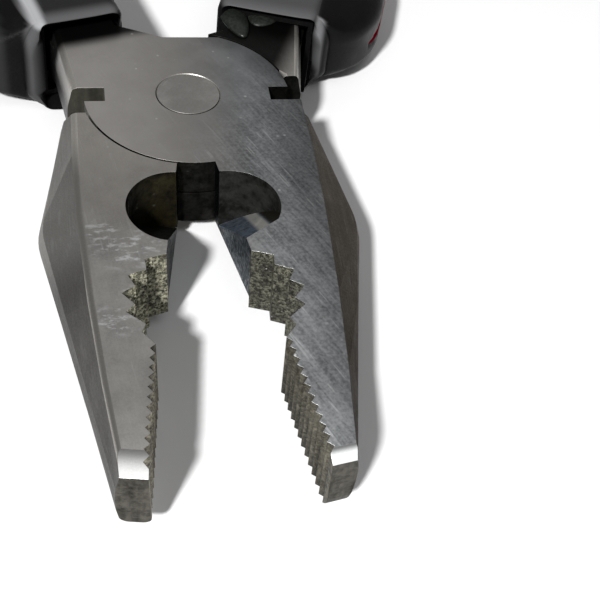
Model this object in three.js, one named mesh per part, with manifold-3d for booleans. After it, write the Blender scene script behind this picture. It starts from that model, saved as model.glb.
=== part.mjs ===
// Combination pliers: two forged halves on one rivet, each with a lined, covered and striped grip.
// Millimetres, +Z up. The pivot is the Z axis, and the head's lower face lies on z = 0.
// The jaws point to -Y and the handles to +Y. The upper half has the right jaw and the left handle.

import * as THREE from 'three';
import { mergeVertices } from 'three/addons/utils/BufferGeometryUtils.js';
import Module from 'manifold-3d';

const wasm = await Module();
wasm.setup();

// Head
const HEAD_THICKNESS = 8.6;
const JOINT_RADIUS = 11.5;
const FACE_MARGIN = 1.3;
const BELLY_MARGIN = 2.1;
const JAW_REACH = 49.5;
const FACE_BULGE = 0.9;
const TIP_FACE_WIDTH = 1.95;
const TIP_BELLY_WIDTH = 2.5;
const SHOULDER_REACH = 20.7;
const SHOULDER_BLEND = 1.6;
const PARTING_HALF_HEIGHT = 1.7;
const PARTING_INSET_SHARE = 0.13;
const MATING_GAP = 0.3;
const MATING_LEAN = THREE.MathUtils.degToRad(2.4);
const MATING_STOCK = 2;

// Joint
const RIVET_RADIUS = 3.5;
const RIVET_NECK_RADIUS = 2.9;
const RIVET_FLARE_HEIGHT = 0.9;
const RIVET_CLEARANCE = 0.15;
const LAP_GAP = 0.2;
const SEAM_CLEARANCE = 0.2;
const CROTCH_REACH = 10.6;
const UPPER_REST_ANGLE = THREE.MathUtils.degToRad(9.345);
const LOWER_REST_ANGLE = THREE.MathUtils.degToRad(9.05);

// Wire-shear notches, and the shoulders that meet when the jaws are wide open
const NOTCH_HEIGHT = 2.3;
const NOTCH_DEPTH = 2.3;
const LOWER_SHOULDER = 3.1;

// Cutter: a round pocket on the front face with a sloping floor, and a widening bevel under the blade
const RELIEF_RADIUS = 4.95;
const RELIEF_NECK = 1.6;
const RELIEF_FLOOR = 0.45;
const UPPER_CROSS_RISE = 2;
const LOWER_CROSS_RISE = 0.3;
const BLADE_LAND = 1.75;
const BLADE_BEVEL_HEIGHT = 2;
const BLADE_BEVEL_DEPTH = 1;
const BLADE_BEVEL_START = 0.2;

// Pipe grip and flat jaw
const PIPE_NOTCHES = 5;
const PIPE_PITCH = 2.24;
const PIPE_DEPTH = 3.7;
const PIPE_ARC_RADIUS = 5;
const PIPE_ARC_SHIFT = 0.45;
const PIPE_TOOTH_DEPTH = 1.15;
const PIPE_TOOTH_SKEW = 0.55;
const SERRATION_PITCH = 1.06;
const SERRATION_DEPTH = 0.5;
const TIP_LAND = 0.6;
const UPPER_TIP_CLOSING = 0.15;
const LOWER_TIP_CLOSING = 0.6;
const UPPER_BEVEL_LENGTH = 1.2;
const UPPER_BEVEL_DROP = 0.9;
const LOWER_BEVEL_LENGTH = 2.3;
const LOWER_BEVEL_DROP = 0.8;

// Shank and tang of each handle
const SHANK_FACE_MARGIN = 0.8;
const SHANK_BELLY_MARGIN = 1.5;
const SHANK_LENGTH = 3.2;
const TANG_FACE_STEP = 1.55;
const TANG_END_WALL = 9;

// Grip
const GRIP_END = 155;
const GRIP_SETBACK = 2;
const GRIP_INNER_EDGE = 3.3;
const GRIP_REAR_CENTRE = 17;
const GRIP_BOW = 3.5;
const GRIP_WIDTH = 14.4;
const GRIP_WIDEN_LENGTH = 35;
const GRIP_OUTER_ROUND = 4;
const GRIP_INNER_ROUND = 2.2;
const GRIP_END_ROUND = 8;
const GRIP_FRONT_CHAMFER = 0.6;
const GRIP_WALL = 2;
const COVER_WALL = 1.6;
const HOOD_RISE = 2.2;
const MOUTH_SIDE_GAP = 1.2;
const MOUTH_DEPTH = 4.6;
const LINER_WALL = 1.2;
const LINER_END_WALL = 3;
const COLLAR_LIP = 0.6;
const COLLAR_SETBACK = 1.6;
const GRIP_CLEARANCE = 0.3;

// Thumb guard on the outer side of each grip
const GUARD_REACH = 5.8;
const GUARD_HALF_HEIGHT = 5.7;
const GUARD_RIM_HALF_HEIGHT = 2.5;
const GUARD_START = 1.9;
const GUARD_RISE_LENGTH = 8;
const GUARD_CREST_LENGTH = 6.5;
const GUARD_FALL_LENGTH = 26;

// Coloured stripe let into the outer edge of each grip
const STRIPE_WIDTH = 3;
const STRIPE_THICKNESS = 1.2;
const STRIPE_PROUD = 0.15;
const STRIPE_FRONT = 7;
const STRIPE_END_WALL = 12;

// Facets
const ROUND_STEPS = 96;
const CORNER_STEPS = 3;
const BLEND_STATIONS = 5;
const TAPER_STATIONS = 4;
const GUARD_STATIONS = 7;
const GRIP_STATIONS = 26;
const END_ROUND_SHARES = [0.35, 0.62, 0.82, 0.94, 0.99];

// Colours and surface
const STEEL_COLOUR = 0x777674;
const RIVET_COLOUR = 0x7d7b78;
const LINER_COLOUR = 0x3c4240;
const COVER_COLOUR = 0x2b2b2c;
const STRIPE_COLOUR = 0x8e1423;
const STEEL_ROUGHNESS = 0.38;
const STEEL_METALNESS = 0.9;
const PLASTIC_ROUGHNESS = 0.5;

// Derived heights, reaches and widths
const MID = HEAD_THICKNESS / 2;
const CHEEK_FLOOR = MID + LAP_GAP / 2;
const MATING_X = MATING_GAP / 2;
const FACE_HALF_WIDTH = JOINT_RADIUS + FACE_MARGIN;
const BELLY_HALF_WIDTH = JOINT_RADIUS + BELLY_MARGIN;
const SHANK_FACE = JOINT_RADIUS + SHANK_FACE_MARGIN;
const SHANK_BELLY = JOINT_RADIUS + SHANK_BELLY_MARGIN;
const RELIEF_CENTRE = JOINT_RADIUS + RELIEF_NECK + RELIEF_RADIUS;
const PIPE_START = RELIEF_CENTRE + RELIEF_RADIUS + BLADE_LAND;
const PIPE_END = PIPE_START + PIPE_NOTCHES * PIPE_PITCH;
const PIPE_CENTRE = (PIPE_START + PIPE_END) / 2 - PIPE_ARC_SHIFT;
const GRIP_FRONT = JOINT_RADIUS + GRIP_SETBACK;
const GRIP_LENGTH = GRIP_END - GRIP_FRONT;
const GRIP_OUTER_EDGE = SHANK_BELLY + MOUTH_SIDE_GAP + GRIP_WALL;
const GRIP_FRONT_CENTRE = (GRIP_INNER_EDGE + GRIP_OUTER_EDGE) / 2;
const GRIP_FRONT_WIDTH = GRIP_OUTER_EDGE - GRIP_INNER_EDGE;
const GRIP_HALF_HEIGHT = MID + HOOD_RISE;
const TANG_WIDTH = GRIP_FRONT_WIDTH - 2 * (COVER_WALL + LINER_WALL + 2 * GRIP_CLEARANCE);
const TANG_THICKNESS = HEAD_THICKNESS - 2 * TANG_FACE_STEP;
const SHANK_INNER = GRIP_INNER_EDGE + GRIP_WALL;
const SHANK_END = GRIP_FRONT + SHANK_LENGTH;
const TANG_END = GRIP_END - TANG_END_WALL;
const LINER_END = TANG_END + LINER_END_WALL;
const LINER_BORE_HALF_WIDTH = TANG_WIDTH / 2 + GRIP_CLEARANCE;
const LINER_BORE_HALF_HEIGHT = TANG_THICKNESS / 2 + GRIP_CLEARANCE;
const LINER_HALF_WIDTH = LINER_BORE_HALF_WIDTH + LINER_WALL;
const LINER_HALF_HEIGHT = LINER_BORE_HALF_HEIGHT + LINER_WALL;
const COLLAR_BORE_HALF_HEIGHT = MID + GRIP_CLEARANCE;
const COLLAR_HALF_HEIGHT = COLLAR_BORE_HALF_HEIGHT + COLLAR_LIP;
const MOUTH_HALF_HEIGHT = COLLAR_HALF_HEIGHT + GRIP_CLEARANCE;
const COLLAR_START = GRIP_FRONT + COLLAR_SETBACK;
const COLLAR_END = GRIP_FRONT + MOUTH_DEPTH - GRIP_CLEARANCE;
const TUBE_START = COLLAR_END - LINER_WALL;
const GUARD_FRONT = GRIP_FRONT + GUARD_START;
const STRIPE_START = GRIP_FRONT + STRIPE_FRONT;
const STRIPE_END = GRIP_END - STRIPE_END_WALL;
const SPARE = 4 * JOINT_RADIUS;

const lerp = THREE.MathUtils.lerp;
const smoothstep = THREE.MathUtils.smoothstep;

// A closed geometry as a solid that can be joined and cut
function solidOf(geometry) {
  geometry.deleteAttribute('normal');
  geometry.deleteAttribute('uv');
  const merged = mergeVertices(geometry);
  const mesh = new wasm.Mesh({
    numProp: 3,
    vertProperties: new Float32Array(merged.attributes.position.array),
    triVerts: new Uint32Array(merged.index.array),
  });
  return new wasm.Manifold(mesh);
}

// A solid as a geometry with flat faces
function geometryOf(solid) {
  const mesh = solid.getMesh();
  const geometry = new THREE.BufferGeometry();
  geometry.setAttribute('position', new THREE.BufferAttribute(new Float32Array(mesh.vertProperties), 3));
  geometry.setIndex(new THREE.BufferAttribute(new Uint32Array(mesh.triVerts), 1));
  const faceted = geometry.toNonIndexed();
  faceted.computeVertexNormals();
  return faceted;
}

// An upright prism over an outline of [x, y] points
function prism(points, low, high) {
  const shape = new THREE.Shape(points.map(([x, y]) => new THREE.Vector2(x, y)));
  const geometry = new THREE.ExtrudeGeometry(shape, { depth: high - low, bevelEnabled: false });
  geometry.translate(0, 0, low);
  return solidOf(geometry);
}

// A prism along X over an outline of [y, z] points
function prismAcross(points, left, right) {
  const shape = new THREE.Shape(points.map(([y, z]) => new THREE.Vector2(y, z)));
  const geometry = new THREE.ExtrudeGeometry(shape, { depth: right - left, bevelEnabled: false });
  geometry.rotateX(Math.PI / 2);
  geometry.rotateZ(Math.PI / 2);
  geometry.translate(left, 0, 0);
  return solidOf(geometry);
}

function circle(radius, x = 0, y = 0) {
  return Array.from({ length: ROUND_STEPS }, (_, step) => {
    const angle = (2 * Math.PI * step) / ROUND_STEPS;
    return [x + radius * Math.cos(angle), y + radius * Math.sin(angle)];
  });
}

// A skin over rings of [x, y, z] points, closed by a fan at each end
function loft(rings) {
  const count = rings[0].length;
  const points = rings.flat();
  const index = [];
  for (let ring = 0; ring + 1 < rings.length; ring += 1) {
    for (let side = 0; side < count; side += 1) {
      const a = ring * count + side;
      const b = ring * count + ((side + 1) % count);
      index.push(a, b, b + count, a, b + count, a + count);
    }
  }
  [0, rings.length - 1].forEach((ring, end) => {
    const hub = points.length;
    points.push([0, 1, 2].map((axis) => rings[ring].reduce((sum, point) => sum + point[axis], 0) / count));
    for (let side = 0; side < count; side += 1) {
      const a = ring * count + side;
      const b = ring * count + ((side + 1) % count);
      index.push(hub, ...(end ? [a, b] : [b, a]));
    }
  });
  const volume = index.reduce((sum, _, at) => {
    if (at % 3) return sum;
    const [p, q, r] = [0, 1, 2].map((corner) => new THREE.Vector3(...points[index[at + corner]]));
    return sum + p.dot(q.cross(r));
  }, 0);
  if (volume < 0) index.reverse();
  const geometry = new THREE.BufferGeometry();
  geometry.setAttribute('position', new THREE.BufferAttribute(new Float32Array(points.flat()), 3));
  geometry.setIndex(index);
  return solidOf(geometry);
}

// Outlines that stand square to the head at the rest opening, turned into a half's closed frame
function squareAtRest(points, restAngle) {
  const cos = Math.cos(restAngle);
  const sin = Math.sin(restAngle);
  return points.map(([x, y]) => [x * cos + y * sin, y * cos - x * sin]);
}

function rectangle(left, right, low, high) {
  return [[left, low], [right, low], [right, high], [left, high]];
}

// Evenly spaced stations, both ends included
function spaced(start, end, count) {
  return Array.from({ length: count }, (_, step) => lerp(start, end, step / (count - 1)));
}

// Head section: a flat face above and below, and a blunt ridge at the parting line
function ridgedSection(inner, face, belly) {
  const facet = belly - PARTING_INSET_SHARE * (belly - face);
  return [
    [inner, 0],
    [face, 0],
    [facet, MID - PARTING_HALF_HEIGHT],
    [belly, MID],
    [facet, MID + PARTING_HALF_HEIGHT],
    [face, HEAD_THICKNESS],
    [inner, HEAD_THICKNESS],
  ];
}

// Half-widths of the head at a distance from the pivot: the flat face, and the belly at the parting line
function faceHalfWidth(reach) {
  const share = reach / JAW_REACH;
  return lerp(FACE_HALF_WIDTH, TIP_FACE_WIDTH, share) + FACE_BULGE * 4 * share * (1 - share);
}

function bellyHalfWidth(reach) {
  const fall = (BELLY_HALF_WIDTH - TIP_BELLY_WIDTH) / (JAW_REACH - SHOULDER_REACH);
  const past = reach - SHOULDER_REACH;
  if (past <= -SHOULDER_BLEND) return BELLY_HALF_WIDTH;
  if (past >= SHOULDER_BLEND) return BELLY_HALF_WIDTH - fall * past;
  return BELLY_HALF_WIDTH - (fall * (past + SHOULDER_BLEND) ** 2) / (4 * SHOULDER_BLEND);
}

function jawBlank() {
  const blendEnd = SHOULDER_REACH + SHOULDER_BLEND;
  const blend = spaced(SHOULDER_REACH - SHOULDER_BLEND, blendEnd, BLEND_STATIONS);
  const taper = spaced(blendEnd, JAW_REACH, TAPER_STATIONS).slice(1);
  const reaches = [-JOINT_RADIUS, 0, JOINT_RADIUS, ...blend, ...taper];
  return loft(reaches.map((reach) => {
    const section = ridgedSection(-MATING_STOCK, faceHalfWidth(Math.max(reach, 0)), bellyHalfWidth(reach));
    return section.map(([x, z]) => [x, -reach, z]);
  }));
}

// Depth of the pipe grip's hollow at a distance from the pivot, measured from the mating line
function pipeDepth(reach) {
  return PIPE_DEPTH - (reach - PIPE_CENTRE) ** 2 / (2 * PIPE_ARC_RADIUS);
}

// Mating line of the flat jaw, which closes in from the pipe grip to the tip
function flatJawX(reach, tipClosing) {
  return MATING_X - (tipClosing * (reach - PIPE_END)) / (JAW_REACH - PIPE_END);
}

// Inner side of a jaw: plain blade, pipe-grip teeth, fine serrations and a plain land at the tip
function jawInnerSide(tipClosing) {
  const line = [[MATING_X, JOINT_RADIUS], [MATING_X, -PIPE_START]];
  for (let notch = 0; notch < PIPE_NOTCHES; notch += 1) {
    const apex = PIPE_START + (notch + 1 - PIPE_TOOTH_SKEW) * PIPE_PITCH;
    const ridge = PIPE_START + (notch + 1) * PIPE_PITCH;
    line.push([MATING_X + pipeDepth(apex), -apex]);
    if (notch + 1 < PIPE_NOTCHES) line.push([MATING_X + pipeDepth(ridge) - PIPE_TOOTH_DEPTH, -ridge]);
  }
  line.push([MATING_X, -PIPE_END]);
  const teeth = Math.floor((JAW_REACH - TIP_LAND - PIPE_END) / SERRATION_PITCH);
  for (let tooth = 0; tooth < teeth; tooth += 1) {
    const root = PIPE_END + (tooth + 0.5) * SERRATION_PITCH;
    const crest = PIPE_END + (tooth + 1) * SERRATION_PITCH;
    line.push([flatJawX(root, tipClosing) + SERRATION_DEPTH, -root]);
    line.push([flatJawX(crest, tipClosing), -crest]);
  }
  line.push([flatJawX(JAW_REACH + SPARE, tipClosing), -JAW_REACH - SPARE]);
  return line;
}

// A solid that leans across the head with the mating faces, about the middle height
function leaning(solid) {
  const lean = Math.tan(MATING_LEAN);
  const shear = new THREE.Matrix4().makeShear(0, 0, 0, 0, -lean, 0).setPosition(lean * MID, 0, 0);
  return solid.transform(shear.elements);
}

// A jaw cut from its blank: square shoulder at the joint, shaped inner side, and bevelled tip
function jaw({ restAngle, shoulder, tipClosing, bevelLength, bevelDrop }) {
  const shoulderCut = prism(
    squareAtRest(rectangle(-SPARE, SPARE, -shoulder, SPARE), restAngle), -SPARE, SPARE,
  );
  const gapCut = leaning(prism(
    [...jawInnerSide(tipClosing), [-SPARE, -JAW_REACH - SPARE], [-SPARE, JOINT_RADIUS]], -SPARE, SPARE,
  ));
  const bevelStart = bevelLength - JAW_REACH;
  const bevelFall = (SPARE * bevelDrop) / bevelLength;
  const upperBevel = prismAcross([
    [bevelStart, HEAD_THICKNESS],
    [bevelStart, HEAD_THICKNESS + SPARE],
    [bevelStart - SPARE, HEAD_THICKNESS + SPARE],
    [bevelStart - SPARE, HEAD_THICKNESS - bevelFall],
  ], -SPARE, SPARE);
  const lowerBevel = prismAcross([
    [bevelStart, 0],
    [bevelStart - SPARE, bevelFall],
    [bevelStart - SPARE, -SPARE],
    [bevelStart, -SPARE],
  ], -SPARE, SPARE);
  return jawBlank().subtract(shoulderCut).subtract(gapCut).subtract(upperBevel).subtract(lowerBevel);
}

// Round pocket whose floor climbs from the blade's edge into the jaw, and up to the face at the pipe grip
function reliefPocket(crossRise) {
  const near = -(RELIEF_CENTRE + RELIEF_RADIUS);
  const far = -(RELIEF_CENTRE - RELIEF_RADIUS);
  const wedge = loft([-1, 1].map((side) => {
    const lift = side * crossRise;
    const corners = [
      [near, HEAD_THICKNESS + lift],
      [far, RELIEF_FLOOR + lift],
      [far, 2 * HEAD_THICKNESS],
      [near, 2 * HEAD_THICKNESS],
    ];
    return corners.map(([y, z]) => [side * RELIEF_RADIUS, y, z]);
  }));
  const drum = prism(circle(RELIEF_RADIUS, 0, -RELIEF_CENTRE), -SPARE, SPARE);
  return drum.intersect(wedge);
}

// Bevel under the blade, widening from the joint to the pipe grip
function bladeBevel() {
  const ends = [[JOINT_RADIUS, BLADE_BEVEL_START], [PIPE_START, 1]];
  return loft(ends.map(([reach, share]) => [
    [-MATING_GAP, -reach, -MATING_GAP],
    [MATING_X + BLADE_BEVEL_DEPTH * share, -reach, -MATING_GAP],
    [MATING_X + BLADE_BEVEL_DEPTH * share, -reach, 0],
    [MATING_X, -reach, BLADE_BEVEL_HEIGHT * share],
    [-MATING_GAP, -reach, BLADE_BEVEL_HEIGHT * share],
  ]));
}

// A cut that sits on the upper face, or turned over to the lower face
function onFace(solid, upper) {
  return upper ? solid : solid.scale([1, 1, -1]).translate([0, 0, HEAD_THICKNESS]);
}

// Centre line of a handle: its distance from the head's middle line, and its slope, along the length
function handleCentre(y) {
  const share = (y - GRIP_FRONT) / GRIP_LENGTH;
  return lerp(GRIP_FRONT_CENTRE, GRIP_REAR_CENTRE, share) + GRIP_BOW * Math.sin(Math.PI * share);
}

function handleSlope(y) {
  const share = (y - GRIP_FRONT) / GRIP_LENGTH;
  const climb = GRIP_REAR_CENTRE - GRIP_FRONT_CENTRE + Math.PI * GRIP_BOW * Math.cos(Math.PI * share);
  return climb / GRIP_LENGTH;
}

// A point of a handle: a station along it, an offset outwards, square to it, and a height above its middle
function handlePoint(y, outwards, height) {
  const slope = handleSlope(y);
  const run = Math.hypot(1, slope);
  return [-(handleCentre(y) + outwards / run), y - (outwards * slope) / run, MID + height];
}

// A bar of rectangular section along a handle
function handleBar(start, end, inner, outer, halfHeight, count = GRIP_STATIONS) {
  return loft(spaced(start, end, count).map((y) => [
    handlePoint(y, inner, -halfHeight),
    handlePoint(y, outer, -halfHeight),
    handlePoint(y, outer, halfHeight),
    handlePoint(y, inner, halfHeight),
  ]));
}

// Shank between the joint and the grip, at the head's full thickness, ended square to the handle
function shank({ restAngle, shoulder }) {
  const section = ridgedSection(0, SHANK_FACE, SHANK_BELLY);
  const stations = [-JOINT_RADIUS, SHANK_END + SHANK_LENGTH];
  const blank = loft(stations.map((y) => section.map(([x, z]) => [-x, y, z])));
  const shoulderCut = prism(
    squareAtRest(rectangle(-SPARE, SPARE, -SPARE, shoulder), restAngle), -SPARE, SPARE,
  );
  const innerSide = [GRIP_FRONT, SHANK_END + SHANK_LENGTH].map(
    (y) => handlePoint(y, SHANK_INNER - GRIP_FRONT_CENTRE, 0).slice(0, 2),
  );
  const crotchCut = prism([
    [0, -SPARE],
    [SPARE, -SPARE],
    [SPARE, innerSide[1][1]],
    ...innerSide.toReversed(),
    [0, CROTCH_REACH],
  ], -SPARE, SPARE);
  const end = [-SPARE, SPARE].map((outwards) => handlePoint(SHANK_END, outwards, 0).slice(0, 2));
  const endCut = prism([...end, ...end.toReversed().map(([x, y]) => [x, y + SPARE])], -SPARE, SPARE);
  return blank.subtract(shoulderCut).subtract(crotchCut).subtract(endCut);
}

// Rivet with a flush flared head at each end
function rivet(clearance) {
  const neck = RIVET_NECK_RADIUS + clearance;
  const head = RIVET_RADIUS + clearance;
  const over = clearance > 0 ? MID : 0;
  const half = [
    [0, -over],
    [head, -over],
    [head, 0],
    [neck, RIVET_FLARE_HEIGHT],
  ];
  const profile = [
    ...half,
    ...half.map(([radius, z]) => [radius, HEAD_THICKNESS - z]).reverse(),
  ].filter(([radius, z], at, all) => !at || radius !== all[at - 1][0] || z !== all[at - 1][1]);
  const points = profile.map(([radius, z]) => new THREE.Vector2(radius, z));
  const geometry = new THREE.LatheGeometry(points, ROUND_STEPS / 2);
  geometry.rotateX(Math.PI / 2);
  return solidOf(geometry);
}

// One forged half: jaw to the right, half-thick cheek on top, shank and tang to the left
function forgedHalf(form) {
  const cheekOutline = prism(circle(JOINT_RADIUS), CHEEK_FLOOR, HEAD_THICKNESS);
  const crotchCut = prism(
    squareAtRest(rectangle(-SPARE, SPARE, CROTCH_REACH, SPARE), form.restAngle), -SPARE, SPARE,
  );
  const otherCheek = prism(circle(JOINT_RADIUS + SEAM_CLEARANCE), -SPARE, CHEEK_FLOOR);
  const rightNotch = rectangle(JOINT_RADIUS - NOTCH_DEPTH, SPARE, -NOTCH_HEIGHT / 2, NOTCH_HEIGHT / 2);
  const leftNotch = rectangle(-SPARE, NOTCH_DEPTH - JOINT_RADIUS, -NOTCH_HEIGHT / 2, NOTCH_HEIGHT / 2);
  const [rightCut, leftCut] = [rightNotch, leftNotch].map(
    (outline) => prism(squareAtRest(outline, form.restAngle), -SPARE, SPARE),
  );
  const tang = handleBar(GRIP_FRONT, TANG_END, -TANG_WIDTH / 2, TANG_WIDTH / 2, TANG_THICKNESS / 2);
  return cheekOutline
    .subtract(crotchCut)
    .add(jaw(form))
    .add(shank(form))
    .add(tang)
    .subtract(otherCheek)
    .subtract(rightCut)
    .subtract(leftCut)
    .subtract(onFace(reliefPocket(form.crossRise), form.pocketOnTop))
    .subtract(onFace(bladeBevel(), form.pocketOnTop))
    .subtract(rivet(RIVET_CLEARANCE));
}

// Half-width of the grip along its length, without the guard
function gripHalfWidth(y) {
  const widen = smoothstep(y, GRIP_FRONT, GRIP_FRONT + GRIP_WIDEN_LENGTH);
  return lerp(GRIP_FRONT_WIDTH, GRIP_WIDTH, widen) / 2;
}

// How far the guard stands out: a round rise, a short crest and a long fall
function guardReach(y) {
  const fall = GUARD_FRONT + GUARD_RISE_LENGTH + GUARD_CREST_LENGTH;
  const toCrest = 1 - THREE.MathUtils.clamp((y - GUARD_FRONT) / GUARD_RISE_LENGTH, 0, 1);
  const rise = Math.sqrt(1 - toCrest ** 2);
  return GUARD_REACH * rise * (1 - smoothstep(y, fall, fall + GUARD_FALL_LENGTH));
}

// Rounded section of the grip at a station, with the guard's blunt wedge on its outer side
function gripRing(y, inset) {
  const end = Math.max(0, y - (GRIP_END - GRIP_END_ROUND)) / GRIP_END_ROUND;
  const shrink = Math.sqrt(1 - end ** 2);
  const halfWidth = gripHalfWidth(y) * shrink - inset;
  const halfHeight = GRIP_HALF_HEIGHT * shrink - inset;
  const section = [];
  [[1, 1], [-1, 1], [-1, -1], [1, -1]].forEach(([sideways, upwards], corner) => {
    const radius = (sideways > 0 ? GRIP_OUTER_ROUND : GRIP_INNER_ROUND) * shrink;
    for (let step = 0; step <= CORNER_STEPS; step += 1) {
      const angle = (Math.PI / 2) * (corner + step / CORNER_STEPS);
      section.push([
        sideways * (halfWidth - radius) + radius * Math.cos(angle),
        upwards * (halfHeight - radius) + radius * Math.sin(angle),
      ]);
    }
  });
  const flank = (halfHeight - GRIP_OUTER_ROUND * shrink) / 2;
  section.push([halfWidth, -flank], [halfWidth, 0], [halfWidth, flank]);
  const reach = guardReach(y);
  return section.map(([outwards, height]) => {
    const slope = (GUARD_HALF_HEIGHT - Math.abs(height)) / (GUARD_HALF_HEIGHT - GUARD_RIM_HALF_HEIGHT);
    const wedge = THREE.MathUtils.clamp(slope, 0, 1);
    return handlePoint(y, outwards + (outwards > 0 ? reach * wedge : 0), height);
  });
}

function gripBlank() {
  const front = [GRIP_FRONT, GRIP_FRONT + GRIP_FRONT_CHAMFER];
  const guard = spaced(0, Math.PI / 2, GUARD_STATIONS).map(
    (turn) => GUARD_FRONT + GUARD_RISE_LENGTH * (1 - Math.cos(turn)),
  );
  const body = spaced(
    GUARD_FRONT + GUARD_RISE_LENGTH + GUARD_CREST_LENGTH,
    GRIP_END - GRIP_END_ROUND,
    GRIP_STATIONS,
  );
  const round = END_ROUND_SHARES.map((share) => GRIP_END - GRIP_END_ROUND * (1 - share));
  const stations = [...front, ...guard, ...body, ...round];
  return loft(stations.map((y) => gripRing(y, y === GRIP_FRONT ? GRIP_FRONT_CHAMFER : 0)));
}

// A box at the mouth of the grip, square to the handle there, around the shank
function mouthBox(start, end, spread, halfHeight) {
  const inner = SHANK_INNER - GRIP_FRONT_CENTRE - spread;
  const outer = SHANK_BELLY - GRIP_FRONT_CENTRE + spread;
  return handleBar(start, end, inner, outer, halfHeight, 2);
}

// A thin bar that follows the grip's outer edge over the guard
function stripeBar(start, end, depth, proud, halfHeight) {
  return loft(spaced(start, end, GRIP_STATIONS * 2).map((y) => {
    const rim = gripHalfWidth(y) + guardReach(y);
    return [
      handlePoint(y, rim - depth, -halfHeight),
      handlePoint(y, rim + proud, -halfHeight),
      handlePoint(y, rim + proud, halfHeight),
      handlePoint(y, rim - depth, halfHeight),
    ];
  }));
}

// Hard liner round the tang, with a collar that closes round the end of the shank
function gripLiner() {
  const tube = handleBar(TUBE_START, LINER_END, -LINER_HALF_WIDTH, LINER_HALF_WIDTH, LINER_HALF_HEIGHT);
  const bore = handleBar(
    0,
    TANG_END + GRIP_CLEARANCE,
    -LINER_BORE_HALF_WIDTH,
    LINER_BORE_HALF_WIDTH,
    LINER_BORE_HALF_HEIGHT,
  );
  const collar = mouthBox(COLLAR_START, COLLAR_END, GRIP_CLEARANCE + COLLAR_LIP, COLLAR_HALF_HEIGHT);
  const socket = mouthBox(GRIP_FRONT, SHANK_END + GRIP_CLEARANCE, GRIP_CLEARANCE, COLLAR_BORE_HALF_HEIGHT);
  return tube.add(collar).subtract(bore).subtract(socket);
}

// Soft cover over the liner, with a hooded mouth, a thumb guard and a groove for the stripe
function gripCover() {
  const mouth = mouthBox(
    0, GRIP_FRONT + MOUTH_DEPTH, 2 * GRIP_CLEARANCE + COLLAR_LIP, MOUTH_HALF_HEIGHT,
  );
  const bore = handleBar(
    TUBE_START - GRIP_CLEARANCE,
    LINER_END + GRIP_CLEARANCE,
    -LINER_HALF_WIDTH - GRIP_CLEARANCE,
    LINER_HALF_WIDTH + GRIP_CLEARANCE,
    LINER_HALF_HEIGHT + GRIP_CLEARANCE,
  );
  const groove = stripeBar(
    STRIPE_START - GRIP_CLEARANCE,
    STRIPE_END + GRIP_CLEARANCE,
    STRIPE_THICKNESS + GRIP_CLEARANCE,
    GRIP_WALL,
    STRIPE_WIDTH / 2 + GRIP_CLEARANCE,
  );
  return gripBlank().subtract(mouth).subtract(bore).subtract(groove);
}

function gripStripe() {
  return stripeBar(STRIPE_START, STRIPE_END, STRIPE_THICKNESS, STRIPE_PROUD, STRIPE_WIDTH / 2);
}

function steel(color) {
  return new THREE.MeshStandardMaterial({ color, roughness: STEEL_ROUGHNESS, metalness: STEEL_METALNESS });
}

function plastic(color) {
  return new THREE.MeshStandardMaterial({ color, roughness: PLASTIC_ROUGHNESS, metalness: 0 });
}

function piece(name, solid, material) {
  const mesh = new THREE.Mesh(geometryOf(solid), material);
  mesh.name = name;
  return mesh;
}

function grip(side) {
  return [
    piece(`${side}_grip_liner`, gripLiner(), plastic(LINER_COLOUR)),
    piece(`${side}_grip_cover`, gripCover(), plastic(COVER_COLOUR)),
    piece(`${side}_grip_stripe`, gripStripe(), plastic(STRIPE_COLOUR)),
  ];
}

// Upper half, opened to the right, with its grip
const upperHalf = forgedHalf({
  restAngle: UPPER_REST_ANGLE,
  shoulder: NOTCH_HEIGHT / 2,
  tipClosing: UPPER_TIP_CLOSING,
  bevelLength: UPPER_BEVEL_LENGTH,
  bevelDrop: UPPER_BEVEL_DROP,
  pocketOnTop: true,
  crossRise: UPPER_CROSS_RISE,
});
const upperSide = new THREE.Group();
upperSide.rotation.z = UPPER_REST_ANGLE;
upperSide.add(piece('upper_half', upperHalf, steel(STEEL_COLOUR)), ...grip('left'));

// Lower half: the same forging turned over about the long axis, and opened to the left
const lowerHalf = forgedHalf({
  restAngle: LOWER_REST_ANGLE,
  shoulder: LOWER_SHOULDER,
  tipClosing: LOWER_TIP_CLOSING,
  bevelLength: LOWER_BEVEL_LENGTH,
  bevelDrop: LOWER_BEVEL_DROP,
  pocketOnTop: false,
  crossRise: LOWER_CROSS_RISE,
});
const lowerFlip = new THREE.Group();
lowerFlip.rotation.y = Math.PI;
lowerFlip.position.z = HEAD_THICKNESS;
lowerFlip.add(piece('lower_half', lowerHalf, steel(STEEL_COLOUR)), ...grip('right'));
const lowerSide = new THREE.Group();
lowerSide.rotation.z = -LOWER_REST_ANGLE;
lowerSide.add(lowerFlip);

const pliers = new THREE.Group();
pliers.add(upperSide, lowerSide, piece('pivot_rivet', rivet(0), steel(RIVET_COLOUR)));

export default pliers;
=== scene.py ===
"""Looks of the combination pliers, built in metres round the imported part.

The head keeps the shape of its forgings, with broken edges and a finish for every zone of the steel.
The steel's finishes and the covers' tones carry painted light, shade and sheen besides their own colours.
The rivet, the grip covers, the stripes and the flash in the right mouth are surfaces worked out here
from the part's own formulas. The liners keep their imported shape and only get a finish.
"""

import logging
import math
from dataclasses import dataclass, field, replace
from enum import Enum
from typing import Callable, Dict, List, Optional, Sequence, Tuple

import bmesh
import bpy
import numpy as np
from mathutils import Matrix


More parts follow.
